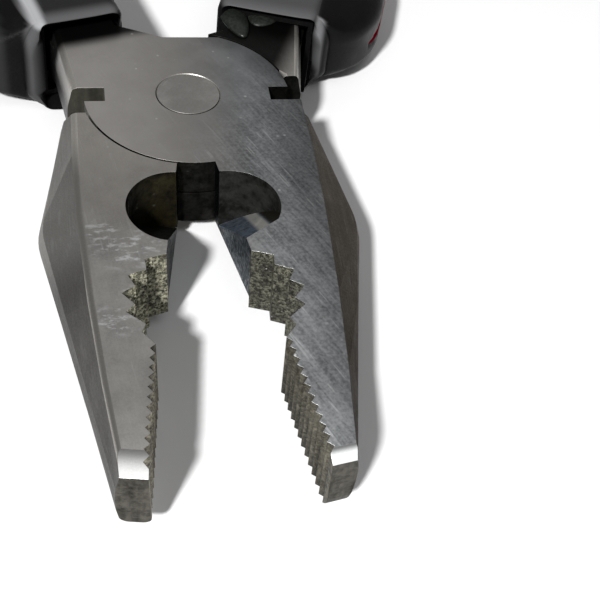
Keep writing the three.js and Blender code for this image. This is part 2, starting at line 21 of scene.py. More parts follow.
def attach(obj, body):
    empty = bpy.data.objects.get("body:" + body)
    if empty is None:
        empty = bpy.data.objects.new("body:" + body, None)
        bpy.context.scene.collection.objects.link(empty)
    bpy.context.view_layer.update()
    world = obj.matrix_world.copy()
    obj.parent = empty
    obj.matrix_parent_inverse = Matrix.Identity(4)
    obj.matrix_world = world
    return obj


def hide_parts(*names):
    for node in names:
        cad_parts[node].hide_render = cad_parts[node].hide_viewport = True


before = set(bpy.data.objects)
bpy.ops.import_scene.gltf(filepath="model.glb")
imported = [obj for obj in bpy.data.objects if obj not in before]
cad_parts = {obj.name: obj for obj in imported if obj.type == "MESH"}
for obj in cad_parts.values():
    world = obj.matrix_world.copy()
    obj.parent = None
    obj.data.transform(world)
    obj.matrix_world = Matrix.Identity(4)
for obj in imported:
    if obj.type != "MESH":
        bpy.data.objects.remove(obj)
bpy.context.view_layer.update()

LOG = logging.getLogger("pliers")
MM = 0.001
QUARTER_TURN = math.pi / 2.0
FULL_TURN = 2.0 * math.pi
# Mesh attribute that holds where the covers carry painted sheen and highlights
PAINTED_SHEEN = "tone"
BEVEL_WEIGHT = "bevel_weight_edge"
KEPT_MATERIAL = -1

Colour = Tuple[float, float, float]
Place = Tuple[float, float, float]
Span = Tuple[float, float]
Array = np.ndarray
Socket = bpy.types.NodeSocket


class Body(Enum):
    """Rigid bodies of the part."""

    UPPER = "upper_side"
    LOWER = "lower_side"


class Slot(Enum):
    """Material slots of the record."""

    STEEL = "ground_steel"
    RIVET = "rivet_steel"
    LINER = "liner_plastic"
    COVER = "cover_plastic"
    STRIPE = "stripe_plastic"


class Zone(Enum):
    """Zones of a forging with a finish of their own, in the order of the mesh's material slots."""

    GROUND = 0
    FLANK = 1
    POCKET = 2
    TEETH = 3
    SERRATION = 4
    BLADE = 5
    JOINT = 6
    FLOOR = 7
    TIP = 8
    SHANK = 9
    STRIP = 10
    HEEL = 11
    NOSE = 12
    NOTCH = 13


class Side(Enum):
    """Side of the head on which a handle lies: the sign of its X."""

    LEFT = -1.0
    RIGHT = 1.0


class Axis(Enum):
    """Axis along which a finish changes."""

    X = "X"
    Y = "Y"
    Z = "Z"


class BevelLimit(Enum):
    """How a bevel finds its edges, by Blender's word for it."""

    WEIGHT = "WEIGHT"
    GROUP = "VGROUP"
    ANGLE = "ANGLE"


class BevelOn(Enum):
    """What a bevel cuts, by Blender's word for it."""

    EDGES = "EDGES"
    CORNERS = "VERTICES"


def smoothstep(values: Array, start: float, end: float) -> Array:
    """Smooth climb from 0 at start to 1 at end: 3t^2 - 2t^3.

    Args:
        values: where to evaluate it.
        start: value where the climb begins.
        end: value where the climb ends.

    Returns:
        The climb at each value.
    """
    share = np.clip((values - start) / (end - start), 0.0, 1.0)
    return share * share * (3.0 - 2.0 * share)


def fade(values: Array, origin: float, span: Span) -> Array:
    """Smooth climb from 0 to 1 over a span that is measured from an origin."""
    return smoothstep(values, origin + span[0], origin + span[1])


def turned(points: Array, angle: float) -> Array:
    """Points turned about the pivot, the Z axis.

    Args:
        points: array whose last axis is x, y, z.
        angle: turn in radians, anticlockwise seen from above.

    Returns:
        The turned points.
    """
    cos, sin = math.cos(angle), math.sin(angle)
    x, y, z = np.moveaxis(points, -1, 0)
    return np.stack([x * cos - y * sin, x * sin + y * cos, z], axis=-1)


def read_rows(items: bpy.types.bpy_prop_collection, name: str) -> Array:
    """Rows of x, y, z that a mesh's vertices or faces hold.

    Args:
        items: the vertices or faces.
        name: name of the property to read.

    Returns:
        An array with a row for each item.
    """
    values = np.empty(len(items) * 3)
    items.foreach_get(name, values)
    return values.reshape(-1, 3)


def new_object(name: str, data: bpy.types.ID) -> bpy.types.Object:
    """An object at the origin that carries a mesh, a lamp or a camera.

    Args:
        name: name of the object.
        data: what it carries.

    Returns:
        The linked object.
    """
    piece = bpy.data.objects.new(name, data)
    bpy.context.scene.collection.objects.link(piece)
    return piece


def shade_smooth(mesh: bpy.types.Mesh) -> None:
    """Shades every face of a mesh smooth."""
    mesh.polygons.foreach_set("use_smooth", np.ones(len(mesh.polygons), dtype=bool))


def turn_outwards(mesh: bpy.types.Mesh) -> None:
    """Turns every face of a closed mesh outwards and shades it smooth.

    Args:
        mesh: the mesh to change.
    """
    work = bmesh.new()
    work.from_mesh(mesh)
    bmesh.ops.recalc_face_normals(work, faces=work.faces)
    work.to_mesh(mesh)
    work.free()
    shade_smooth(mesh)
    mesh.update()


def tube_mesh(name: str, rings: Array, tone: Optional[Array] = None) -> bpy.types.Mesh:
    """A closed skin over rings: quads between neighbours, and a fan to the ring's mean at each end.

    Args:
        name: name of the mesh.
        rings: array of ring, point and x, y, z in millimetres, each ring closed on itself.
        tone: how much painted sheen lightens each ring point, from 0 to 1, or none.

    Returns:
        A smooth-shaded mesh in metres whose faces point outwards.
    """
    count, around, _ = rings.shape
    poles = np.stack([rings[0].mean(axis=0), rings[-1].mean(axis=0)])
    points = np.concatenate([rings.reshape(-1, 3), poles]) * MM
    row, column = np.meshgrid(np.arange(count - 1), np.arange(around), indexing="ij")
    beside = (column + 1) % around
    corners = (row * around + column, row * around + beside,
               (row + 1) * around + beside, (row + 1) * around + column)
    quads = np.stack(corners, axis=-1).reshape(-1, 4)
    here = np.arange(around)
    following = (here + 1) % around
    first_pole, last_pole = np.full(around, count * around), np.full(around, count * around + 1)
    last = (count - 1) * around
    first_fan = np.stack([first_pole, following, here], axis=-1)
    last_fan = np.stack([last_pole, last + here, last + following], axis=-1)
    mesh = bpy.data.meshes.new(name)
    mesh.from_pydata(points.tolist(), [], quads.tolist() + first_fan.tolist() + last_fan.tolist())
    turn_outwards(mesh)
    if tone is not None:
        ends = np.array([tone[0].mean(), tone[-1].mean()])
        values = np.concatenate([tone.reshape(-1), ends]).astype(np.float32)
        mesh.attributes.new(PAINTED_SHEEN, "FLOAT", "POINT").data.foreach_set("value", values)
    return mesh


class NodeSheet:
    """A node tree with short ways to add and join nodes."""

    # Socket numbers of a Mix node that mixes colours
    MIX_SHARE = 0
    MIX_FIRST = 6
    MIX_SECOND = 7
    MIX_RESULT = 2

    def __init__(self, tree: bpy.types.NodeTree) -> None:
        """Keeps the tree that the nodes go into."""
        self.tree = tree

    @classmethod
    def material(cls, name: str) -> Tuple[bpy.types.Material, "NodeSheet", bpy.types.Node]:
        """A new node material.

        Args:
            name: name of the material.

        Returns:
            The material, its sheet and its shader.
        """
        material = bpy.data.materials.new(name)
        material.use_nodes = True
        shader = material.node_tree.nodes["Principled BSDF"]
        return material, cls(material.node_tree), shader

    def add(self, kind: str, inputs: Optional[Dict] = None, **settings: object) -> bpy.types.Node:
        """A new node with its settings, and its inputs set or linked.

        Args:
            kind: Blender's name of the node type.
            inputs: values or output sockets by the name or number of the input.
            settings: properties of the node.

        Returns:
            The node.
        """
        node = self.tree.nodes.new(kind)
        for name, value in settings.items():
            setattr(node, name, value)
        for key, value in (inputs or {}).items():
            self.put(value, node.inputs[key])
        return node

    def put(self, value: object, socket: Socket) -> None:
        """Links an output socket to an input, or sets a plain value on it.

        Args:
            value: an output socket or a plain value.
            socket: the input.
        """
        if isinstance(value, Socket):
            self.tree.links.new(value, socket)
        else:
            socket.default_value = value

    def math(self, operation: str, *values: object) -> Socket:
        """The result of a Math node on numbers or sockets."""
        return self.add("ShaderNodeMath", dict(enumerate(values)), operation=operation).outputs[0]

    def vector(self, operation: str, first: object, second: object) -> Socket:
        """The vector that a Vector Math node makes of two vectors or sockets."""
        inputs = {0: first, 1: second}
        return self.add("ShaderNodeVectorMath", inputs, operation=operation).outputs[0]

    def mix(self, share: object, first: object, second: object, blend: str = "MIX") -> Socket:
        """A colour mixed from two.

        Args:
            share: share of the second colour.
            first: colour or socket at share 0.
            second: colour or socket at share 1.
            blend: Blender's name of the way to mix.

        Returns:
            The output socket.
        """
        inputs = {self.MIX_SHARE: share, self.MIX_FIRST: first, self.MIX_SECOND: second}
        node = self.add("ShaderNodeMix", inputs, data_type="RGBA", blend_type=blend)
        return node.outputs[self.MIX_RESULT]

    def ramp(self, value: object, low: object, high: object, to_low: float = 0.0,
             to_high: float = 1.0) -> Socket:
        """A value carried smoothly from one range to another, and held at its ends.

        Args:
            value: the value or socket.
            low: where the range starts, a number or socket.
            high: where the range ends, a number or socket.
            to_low: result at low.
            to_high: result at high.

        Returns:
            The output socket.
        """
        inputs = {"Value": value, "From Min": low, "From Max": high,
                  "To Min": to_low, "To Max": to_high}
        node = self.add("ShaderNodeMapRange", inputs, interpolation_type="SMOOTHSTEP")
        return node.outputs["Result"]

    def noise(self, vector: object, scale: object, detail: float, roughness: float = 0.5) -> Socket:
        """The level of a noise pattern.

        Args:
            vector: where to evaluate it.
            scale: grains per metre.
            detail: number of finer layers.
            roughness: weight of each layer against the one before.

        Returns:
            A number socket.
        """
        inputs = {"Vector": vector, "Scale": scale, "Detail": detail, "Roughness": roughness}
        return self.add("ShaderNodeTexNoise", inputs).outputs["Fac"]

    def along(self, place: Socket, axis: Axis) -> Socket:
        """The place's X, Y or Z."""
        return self.add("ShaderNodeSeparateXYZ", {0: place}).outputs[axis.value]

    def rotated(self, place: Socket, tilt: float, turn: float) -> Socket:
        """The place turned about X by the tilt and about Z by the turn, in radians."""
        inputs = {"Vector": place, "Rotation": (tilt, 0.0, turn)}
        return self.add("ShaderNodeMapping", inputs).outputs[0]

    def group(self, tree: bpy.types.NodeTree, **inputs: object) -> bpy.types.bpy_prop_collection:
        """Places a node group.

        Args:
            tree: the group.
            inputs: its inputs by name, with _ for a space.

        Returns:
            The output sockets by name.
        """
        named = {name.replace("_", " "): value for name, value in inputs.items()}
        return self.add("ShaderNodeGroup", named, node_tree=tree).outputs


def rgba(colour: Colour) -> Tuple[float, float, float, float]:
    """A colour with full cover."""
    return (*colour, 1.0)


class SurfaceGroups:
    """Shader node groups for the effects that several finishes share. Each is made once."""

    # Scale of the wide grinding lines, and of the breaks in a scratch, against the fine lines'
    WIDE_LINES = 0.3
    LINE_BREAKS = 0.12
    # How far over its level a scratch takes to be full
    LINE_SOFTNESS = 0.06
    # Share of the cells that hold no nick
    EMPTY_CELLS = 0.72
    # A rubbed patch is flatter than a circle, and its strokes run across
    SCUFF_SQUASH = (1.0, 1.3, 0.0)
    STROKE_SQUASH = (0.45, 1.0, 1.0)
    STROKE_SCALE = 1500.0

    def __init__(self) -> None:
        """Makes the groups."""
        self.grain = self.make_grain()
        self.brush = self.make_brush()
        self.scratches = self.make_scratches()
        self.specks = self.make_specks()
        self.scuffs = self.make_scuffs()

    @staticmethod
    def start(name: str, inputs: Sequence[str],
              outputs: Sequence[str]) -> Tuple[NodeSheet, Dict, bpy.types.Node]:
        """An empty group with a vector input, number inputs and number outputs.

        Args:
            name: name of the group.
            inputs: names of the number inputs.
            outputs: names of the outputs.

        Returns:
            The sheet, the input sockets by name, and the output node.
        """
        tree = bpy.data.node_groups.new(name, "ShaderNodeTree")
        tree.interface.new_socket("Vector", in_out="INPUT", socket_type="NodeSocketVector")
        for label in inputs:
            tree.interface.new_socket(label, in_out="INPUT", socket_type="NodeSocketFloat")
        for label in outputs:
            tree.interface.new_socket(label, in_out="OUTPUT", socket_type="NodeSocketFloat")
        sheet = NodeSheet(tree)
        entry = sheet.add("NodeGroupInput")
        return sheet, dict(entry.outputs.items()), sheet.add("NodeGroupOutput")

    @staticmethod
    def drawn_out(sheet: NodeSheet, given: Dict) -> Socket:
        """The vector with Y divided by the stretch, so that a pattern is drawn out along Y.

        Args:
            sheet: the group's sheet.
            given: its inputs Vector and Stretch, by name.

        Returns:
            A vector socket.
        """
        shorter = sheet.math("DIVIDE", 1.0, given["Stretch"])
        factors = sheet.add("ShaderNodeCombineXYZ", {"X": 1.0, "Y": shorter, "Z": 1.0}).outputs[0]
        return sheet.vector("MULTIPLY", given["Vector"], factors)

    def make_grain(self) -> bpy.types.NodeTree:
        """Fine mottling over broad patches. Scale is in grains per metre.

        Returns:
            The group, with the outputs Fine and Broad.
        """
        sheet, given, leave = self.start("steel_grain", ["Scale", "Broad Scale"], ["Fine", "Broad"])
        fine = sheet.noise(given["Vector"], given["Scale"], detail=3.0, roughness=0.65)
        broad = sheet.noise(given["Vector"], given["Broad Scale"], detail=4.0, roughness=0.6)
        sheet.put(sheet.ramp(fine, low=0.36, high=0.64), leave.inputs["Fine"])
        sheet.put(sheet.ramp(broad, low=0.35, high=0.65), leave.inputs["Broad"])
        return sheet.tree

    def make_brush(self) -> bpy.types.NodeTree:
        """Close grinding lines along the vector's Y: the mean of a finer and a wider drawn-out noise.

        Returns:
            The group, with the output Lines.
        """
        sheet, given, leave = self.start("steel_brush", ["Scale", "Stretch"], ["Lines"])
        drawn = self.drawn_out(sheet, given)
        wider = sheet.math("MULTIPLY", given["Scale"], self.WIDE_LINES)
        wide = sheet.noise(drawn, wider, detail=3.0, roughness=0.6)
        thin = sheet.noise(drawn, given["Scale"], detail=2.0, roughness=0.6)
        mean = sheet.math("MULTIPLY", sheet.math("ADD", wide, thin), 0.5)
        sheet.put(sheet.ramp(mean, low=0.36, high=0.64), leave.inputs["Lines"])
        return sheet.tree

    def make_scratches(self) -> bpy.types.NodeTree:
        """Thin lines along the vector's Y: a drawn-out noise, cut off above a level, and broken up.

        Returns:
            The group, with the output Mask.
        """
        sheet, given, leave = self.start("steel_scratches", ["Scale", "Stretch", "Level"], ["Mask"])
        lines = sheet.noise(self.drawn_out(sheet, given), given["Scale"], detail=2.0)
        coarse = sheet.math("MULTIPLY", given["Scale"], self.LINE_BREAKS)
        breaks = sheet.noise(given["Vector"], coarse, detail=2.0)
        full = sheet.math("ADD", given["Level"], self.LINE_SOFTNESS)
        sharp = sheet.ramp(lines, given["Level"], full)
        kept = sheet.ramp(breaks, low=0.45, high=0.6)
        sheet.put(sheet.math("MULTIPLY", sharp, kept), leave.inputs["Mask"])
        return sheet.tree

    def make_specks(self) -> bpy.types.NodeTree:
        """Small bright nicks in loose clusters: some cells' centres, where a broad noise is high.

        Returns:
            The group, with the output Mask.
        """
        sheet, given, leave = self.start("steel_specks", ["Scale", "Cluster"], ["Mask"])
        inputs = {"Vector": given["Vector"], "Scale": given["Scale"], "Randomness": 1.0}
        cells = sheet.add("ShaderNodeTexVoronoi", inputs).outputs
        dots = sheet.ramp(cells["Distance"], low=0.1, high=0.24, to_low=1.0, to_high=0.0)
        chance = sheet.add("ShaderNodeSeparateColor", {0: cells["Color"]}).outputs[0]
        few = sheet.math("GREATER_THAN", chance, self.EMPTY_CELLS)
        cluster = sheet.noise(given["Vector"], given["Cluster"], detail=2.0)
        near = sheet.ramp(cluster, low=0.52, high=0.66)
        kept = sheet.math("MULTIPLY", sheet.math("MULTIPLY", dots, few), near)
        sheet.put(kept, leave.inputs["Mask"])
        return sheet.tree

    def make_scuffs(self) -> bpy.types.NodeTree:
        """A patch of short rubbed strokes: noise drawn out across, cut off above a level, in a soft patch.

        Returns:
            The group, with the output Mask.
        """
        sheet, given, leave = self.start("steel_scuffs", ["X", "Y", "Radius"], ["Mask"])
        middle = sheet.add("ShaderNodeCombineXYZ", {"X": given["X"], "Y": given["Y"]}).outputs[0]
        offset = sheet.vector("SUBTRACT", given["Vector"], middle)
        level = sheet.vector("MULTIPLY", offset, self.SCUFF_SQUASH)
        length = sheet.add("ShaderNodeVectorMath", {0: level}, operation="LENGTH").outputs["Value"]
        share = sheet.math("DIVIDE", length, given["Radius"])
        patch = sheet.ramp(share, low=0.25, high=1.0, to_low=1.0, to_high=0.0)
        drawn = sheet.vector("MULTIPLY", given["Vector"], self.STROKE_SQUASH)
        strokes = sheet.noise(drawn, self.STROKE_SCALE, detail=4.0, roughness=0.7)
        wear_and_sheen = sheet.ramp(strokes, low=0.5, high=0.66)
        sheet.put(sheet.math("MULTIPLY", patch, wear_and_sheen), leave.inputs["Mask"])
        return sheet.tree


@dataclass(frozen=True)
class Shade:
    """A slow change along an axis: factors at two places on it, in millimetres.

    Among a finish's shades it is painted light and shade, which makes the colour lighter or darker; as
    brush_where or grain_where it only says how much of a pattern shows. The axis may be turned about
    the pivot, by an angle in radians.
    """

    start: float
    first: float
    end: float
    last: float
    axis: Axis = Axis.Y
    turn: float = 0.0


@dataclass(frozen=True)
class Band:
    """A colour across the steel between two places on an axis, in millimetres, with soft edges."""

    start: float
    end: float
    soft: float
    colour: Colour
    share: float = 1.0
    axis: Axis = Axis.Y


@dataclass(frozen=True)
class Scuff:
    """A rubbed patch: its middle and radius in millimetres, and how white it is."""

    x: float
    y: float
    radius: float
    share: float


@dataclass(frozen=True)
class SteelPatterns:
    """The patterns that a steel's colour and relief are made of, as number sockets."""

    fine: Socket
    broad: Socket
    drawn: Socket
    scratched: Socket
    nicked: Socket


@dataclass(frozen=True)
class SteelFinish:
    """Bare steel: mottled between two colours, with stains, grinding lines, nicks, and painted light and
    shade.

    Scales are in grains per metre, turns and tilts in radians, and the bump's depth in metres. The
    edge says how much a glancing view mirrors, from 0 to 1.
    """

    name: str
    dark: Colour
    light: Colour
    stain: Colour = (0.2, 0.19, 0.17)
    stain_share: float = 0.0
    metallic: float = 0.9
    smooth: float = 0.34
    rough: float = 0.5
    grain_scale: float = 5200.0
    broad_scale: float = 170.0
    line_turn: float = 0.0
    line_tilt: float = 0.0
    line_scale: float = 3800.0
    line_stretch: float = 30.0
    line_level: float = 0.6
    line_share: float = 0.2
    speck_scale: float = 1100.0
    speck_share: float = 0.0
    bright: Colour = (0.85, 0.86, 0.86)
    grain_share: float = 0.4
    brush_share: float = 0.3
    brush_scale: float = 4200.0
    brush_stretch: float = 45.0
    brush_relief: float = 0.8
    brush_where: Optional[Shade] = None
    grain_where: Optional[Shade] = None
    bands: Tuple[Band, ...] = ()
    scuffs: Tuple[Scuff, ...] = ()
    bump: float = 0.25
    bump_depth: float = 0.00003
    # Painted light and shade, each multiplying the colour
    shades: Tuple[Shade, ...] = ()
    edge: float = 1.0

    def material(self, groups: SurfaceGroups) -> bpy.types.Material:
        """The finish as a node material.

        Args:
            groups: the shared node groups.

        Returns:
            The material.
        """
        material, sheet, shader = NodeSheet.material(self.name)
        place = sheet.add("ShaderNodeTexCoord").outputs["Object"]
        seen = self.patterns(sheet, place, groups)
        grained = sheet.math("ADD", sheet.math("MULTIPLY", seen.fine, self.grain_share),
                             sheet.math("MULTIPLY", seen.drawn, self.brush_share))
        rest = 1.0 - self.grain_share - self.brush_share
        mottled = sheet.math("ADD", grained, sheet.math("MULTIPLY", seen.broad, rest))
        colour = self.painted(sheet, place, groups, seen, mottled)
        sheet.put(colour, shader.inputs["Base Color"])
        roughness = sheet.ramp(mottled, 0.0, 1.0, self.rough, self.smooth)
        sheet.put(roughness, shader.inputs["Roughness"])
        shader.inputs["Metallic"].default_value = self.metallic
        shader.inputs["Specular Tint"].default_value = rgba((self.edge, self.edge, self.edge))
        relief = sheet.math("ADD", seen.fine, sheet.math("MULTIPLY", seen.drawn, self.brush_relief))
        bump = sheet.add("ShaderNodeBump", {"Strength": self.bump, "Distance": self.bump_depth,
                                            "Height": relief})
        sheet.put(bump.outputs["Normal"], shader.inputs["Normal"])
        return material

    def patterns(self, sheet: NodeSheet, place: Socket, groups: SurfaceGroups) -> SteelPatterns:
        """The patterns at each place, each from 0 to 1.

        Args:
            sheet: the material's sheet.
            place: Object coordinates.
            groups: the shared node groups.

        Returns:
            The patterns, with the grain and the lines held back where the finish says so.
        """
        along = sheet.rotated(place, self.line_tilt, self.line_turn)
        grain = sheet.group(groups.grain, Vector=place, Scale=self.grain_scale,
                            Broad_Scale=self.broad_scale)
        scratches = sheet.group(groups.scratches, Vector=along, Scale=self.line_scale,
                                Stretch=self.line_stretch, Level=self.line_level)
        specks = sheet.group(groups.specks, Vector=place, Scale=self.speck_scale,
                             Cluster=self.broad_scale)
        brush = sheet.group(groups.brush, Vector=along, Scale=self.brush_scale,
                            Stretch=self.brush_stretch)
        fine, drawn, scratched = grain["Fine"], brush["Lines"], scratches["Mask"]
        if self.brush_where:
            here = self.factor(sheet, place, self.brush_where)
            drawn = self.kept(sheet, drawn, here)
            scratched = sheet.math("MULTIPLY", scratched, here)
        if self.grain_where:
            fine = self.kept(sheet, fine, self.factor(sheet, place, self.grain_where))
        return SteelPatterns(fine, grain["Broad"], drawn, scratched, specks["Mask"])

    def painted(self, sheet: NodeSheet, place: Socket, groups: SurfaceGroups, seen: SteelPatterns,
                mottled: Socket) -> Socket:
        """The colour: mottling, stain, bands, bright marks and painted light and shade, laid on in this
        order.

        Args:
            sheet: the material's sheet.
            place: Object coordinates.
            groups: the shared node groups.
            seen: the patterns.
            mottled: share of the light colour.

        Returns:
            A colour socket.
        """
        colour = sheet.mix(mottled, rgba(self.dark), rgba(self.light))
        stained = sheet.math("MULTIPLY", seen.broad, self.stain_share)
        colour = sheet.mix(stained, colour, rgba(self.stain))
        for band in self.bands:
            colour = sheet.mix(self.cover(sheet, place, band), colour, rgba(band.colour))
        marks = sheet.math("MAXIMUM", sheet.math("MULTIPLY", seen.scratched, self.line_share),
                           sheet.math("MULTIPLY", seen.nicked, self.speck_share))
        for scuff in self.scuffs:
            marks = sheet.math("MAXIMUM", marks, self.rubbed(sheet, place, groups, scuff))
        colour = sheet.mix(marks, colour, rgba(self.bright))
        # Painted light and shade: each shade multiplies the colour by its factor
        for shade in self.shades:
            factor = self.factor(sheet, place, shade)
            grey = sheet.add("ShaderNodeCombineColor", {0: factor, 1: factor, 2: factor}).outputs[0]
            colour = sheet.mix(1.0, colour, grey, blend="MULTIPLY")
        return colour

    @staticmethod
    def factor(sheet: NodeSheet, place: Socket, shade: Shade) -> Socket:
        """A factor that changes along an axis as the shade says.

        Args:
            sheet: the material's sheet.
            place: Object coordinates.
            shade: the change.

        Returns:
            A number socket.
        """
        if shade.turn:
            place = sheet.rotated(place, 0.0, shade.turn)
        along = sheet.along(place, shade.axis)
        return sheet.ramp(along, shade.start * MM, shade.end * MM, shade.first, shade.last)

    @staticmethod
    def kept(sheet: NodeSheet, pattern: Socket, share: Socket) -> Socket:
        """A pattern from 0 to 1, pulled towards its middle where the share is low."""
        middle = 0.5
        return sheet.math("MULTIPLY_ADD", sheet.math("SUBTRACT", pattern, middle), share, middle)

    @staticmethod
    def cover(sheet: NodeSheet, place: Socket, band: Band) -> Socket:
        """How much of a band's colour lies at each place.

        Args:
            sheet: the material's sheet.
            place: Object coordinates.
            band: the band.

        Returns:
            A number socket.
        """
        along = sheet.along(place, band.axis)
        soft = band.soft / 2.0
        into = sheet.ramp(along, (band.start - soft) * MM, (band.start + soft) * MM)
        out = sheet.ramp(along, (band.end - soft) * MM, (band.end + soft) * MM, band.share, 0.0)
        return sheet.math("MULTIPLY", into, out)

    @staticmethod
    def rubbed(sheet: NodeSheet, place: Socket, groups: SurfaceGroups, scuff: Scuff) -> Socket:
        """How white a rubbed patch makes each place.

        Args:
            sheet: the material's sheet.
            place: Object coordinates.
            groups: the shared node groups.
            scuff: the patch.

        Returns:
            A number socket.
        """
        patch = sheet.group(groups.scuffs, Vector=place, X=scuff.x * MM, Y=scuff.y * MM,
                            Radius=scuff.radius * MM)
        return sheet.math("MULTIPLY", patch["Mask"], scuff.share)


@dataclass(frozen=True)
class PlasticFinish:
    """Moulded plastic: fine grain, a little dust and a satin skin, with a painted sheen where the mesh has
    a tone.

    Scales are in grains per metre, and the bump's depth is in metres.
    """

    name: str
    colour: Colour
    dusty: Colour
    painted_sheen_colour: Colour = (0.05, 0.05, 0.05)
    dust_share: float = 0.12
    shine: float = 0.5
    smooth: float = 0.3
    rough: float = 0.45
    grain_scale: float = 3600.0
    broad_scale: float = 90.0
    bump: float = 0.2
    bump_depth: float = 0.00003

    def material(self, groups: SurfaceGroups) -> bpy.types.Material:
        """The finish as a node material.

        Args:
            groups: the shared node groups.

        Returns:
            The material.
        """
        material, sheet, shader = NodeSheet.material(self.name)
        place = sheet.add("ShaderNodeTexCoord").outputs["Object"]
        grain = sheet.group(groups.grain, Vector=place, Scale=self.grain_scale,
                            Broad_Scale=self.broad_scale)
        fine, broad = grain["Fine"], grain["Broad"]
        dust = sheet.math("MULTIPLY", sheet.math("MULTIPLY", fine, broad), self.dust_share)
        tone = sheet.add("ShaderNodeAttribute", attribute_name=PAINTED_SHEEN).outputs["Fac"]
        # Painted sheen: the pale colour laid on where the tone is high
        wear_and_sheen = sheet.mix(tone, rgba(self.colour), rgba(self.painted_sheen_colour))
        sheet.put(sheet.mix(dust, wear_and_sheen, rgba(self.dusty)), shader.inputs["Base Color"])
        roughness = sheet.ramp(broad, 0.0, 1.0, self.smooth, self.rough)
        sheet.put(roughness, shader.inputs["Roughness"])
        shader.inputs["Specular IOR Level"].default_value = self.shine
        bump = sheet.add("ShaderNodeBump", {"Strength": self.bump, "Distance": self.bump_depth,
                                            "Height": fine})
        sheet.put(bump.outputs["Normal"], shader.inputs["Normal"])
        return material


@dataclass(frozen=True)
class HeadSizes:
    """Sizes of the head that the zones and edges are found from, in millimetres.

    Reach is measured from the pivot towards the jaws. The margins, skins and slacks say how far from
    a size a face or an edge may lie and still belong to it.
    """

    thickness: float = 8.6
    joint_radius: float = 11.5
    jaw_reach: float = 49.5
    relief_radius: float = 4.95
    rivet_radius: float = 3.5
    notch_floor: float = 7.0
    notch_half: float = 3.5
    relief_centre: float = 18.05
    pipe_start: float = 24.75
    pipe_end: float = 35.95
    pipe_depth: float = 4.2
    blade_depth: float = 1.4
    serration_depth: float = 1.0
    bevel_length: float = 3.0
    joint_back: float = 4.0
    heel_start: float = 3.0
    shank_start: float = 0.8
    shank_inset: float = 1.0
    joint_margin: float = 2.6
    rivet_margin: float = 0.4
    border_slack: float = 0.05
    pocket_slack: float = 0.02
    face_skin: float = 0.1
    top_skin: float = 0.02
    bottom_skin: float = 1.0
    shank_edge_inset: float = 1.5
    jaw_edge_start: float = 1.0
    jaw_edge_inset: float = 2.5
    teeth_margin: float = 0.5
    teeth_end_margin: float = 0.3
    pocket_margin: float = 0.3
    joint_edge_margin: float = 0.6


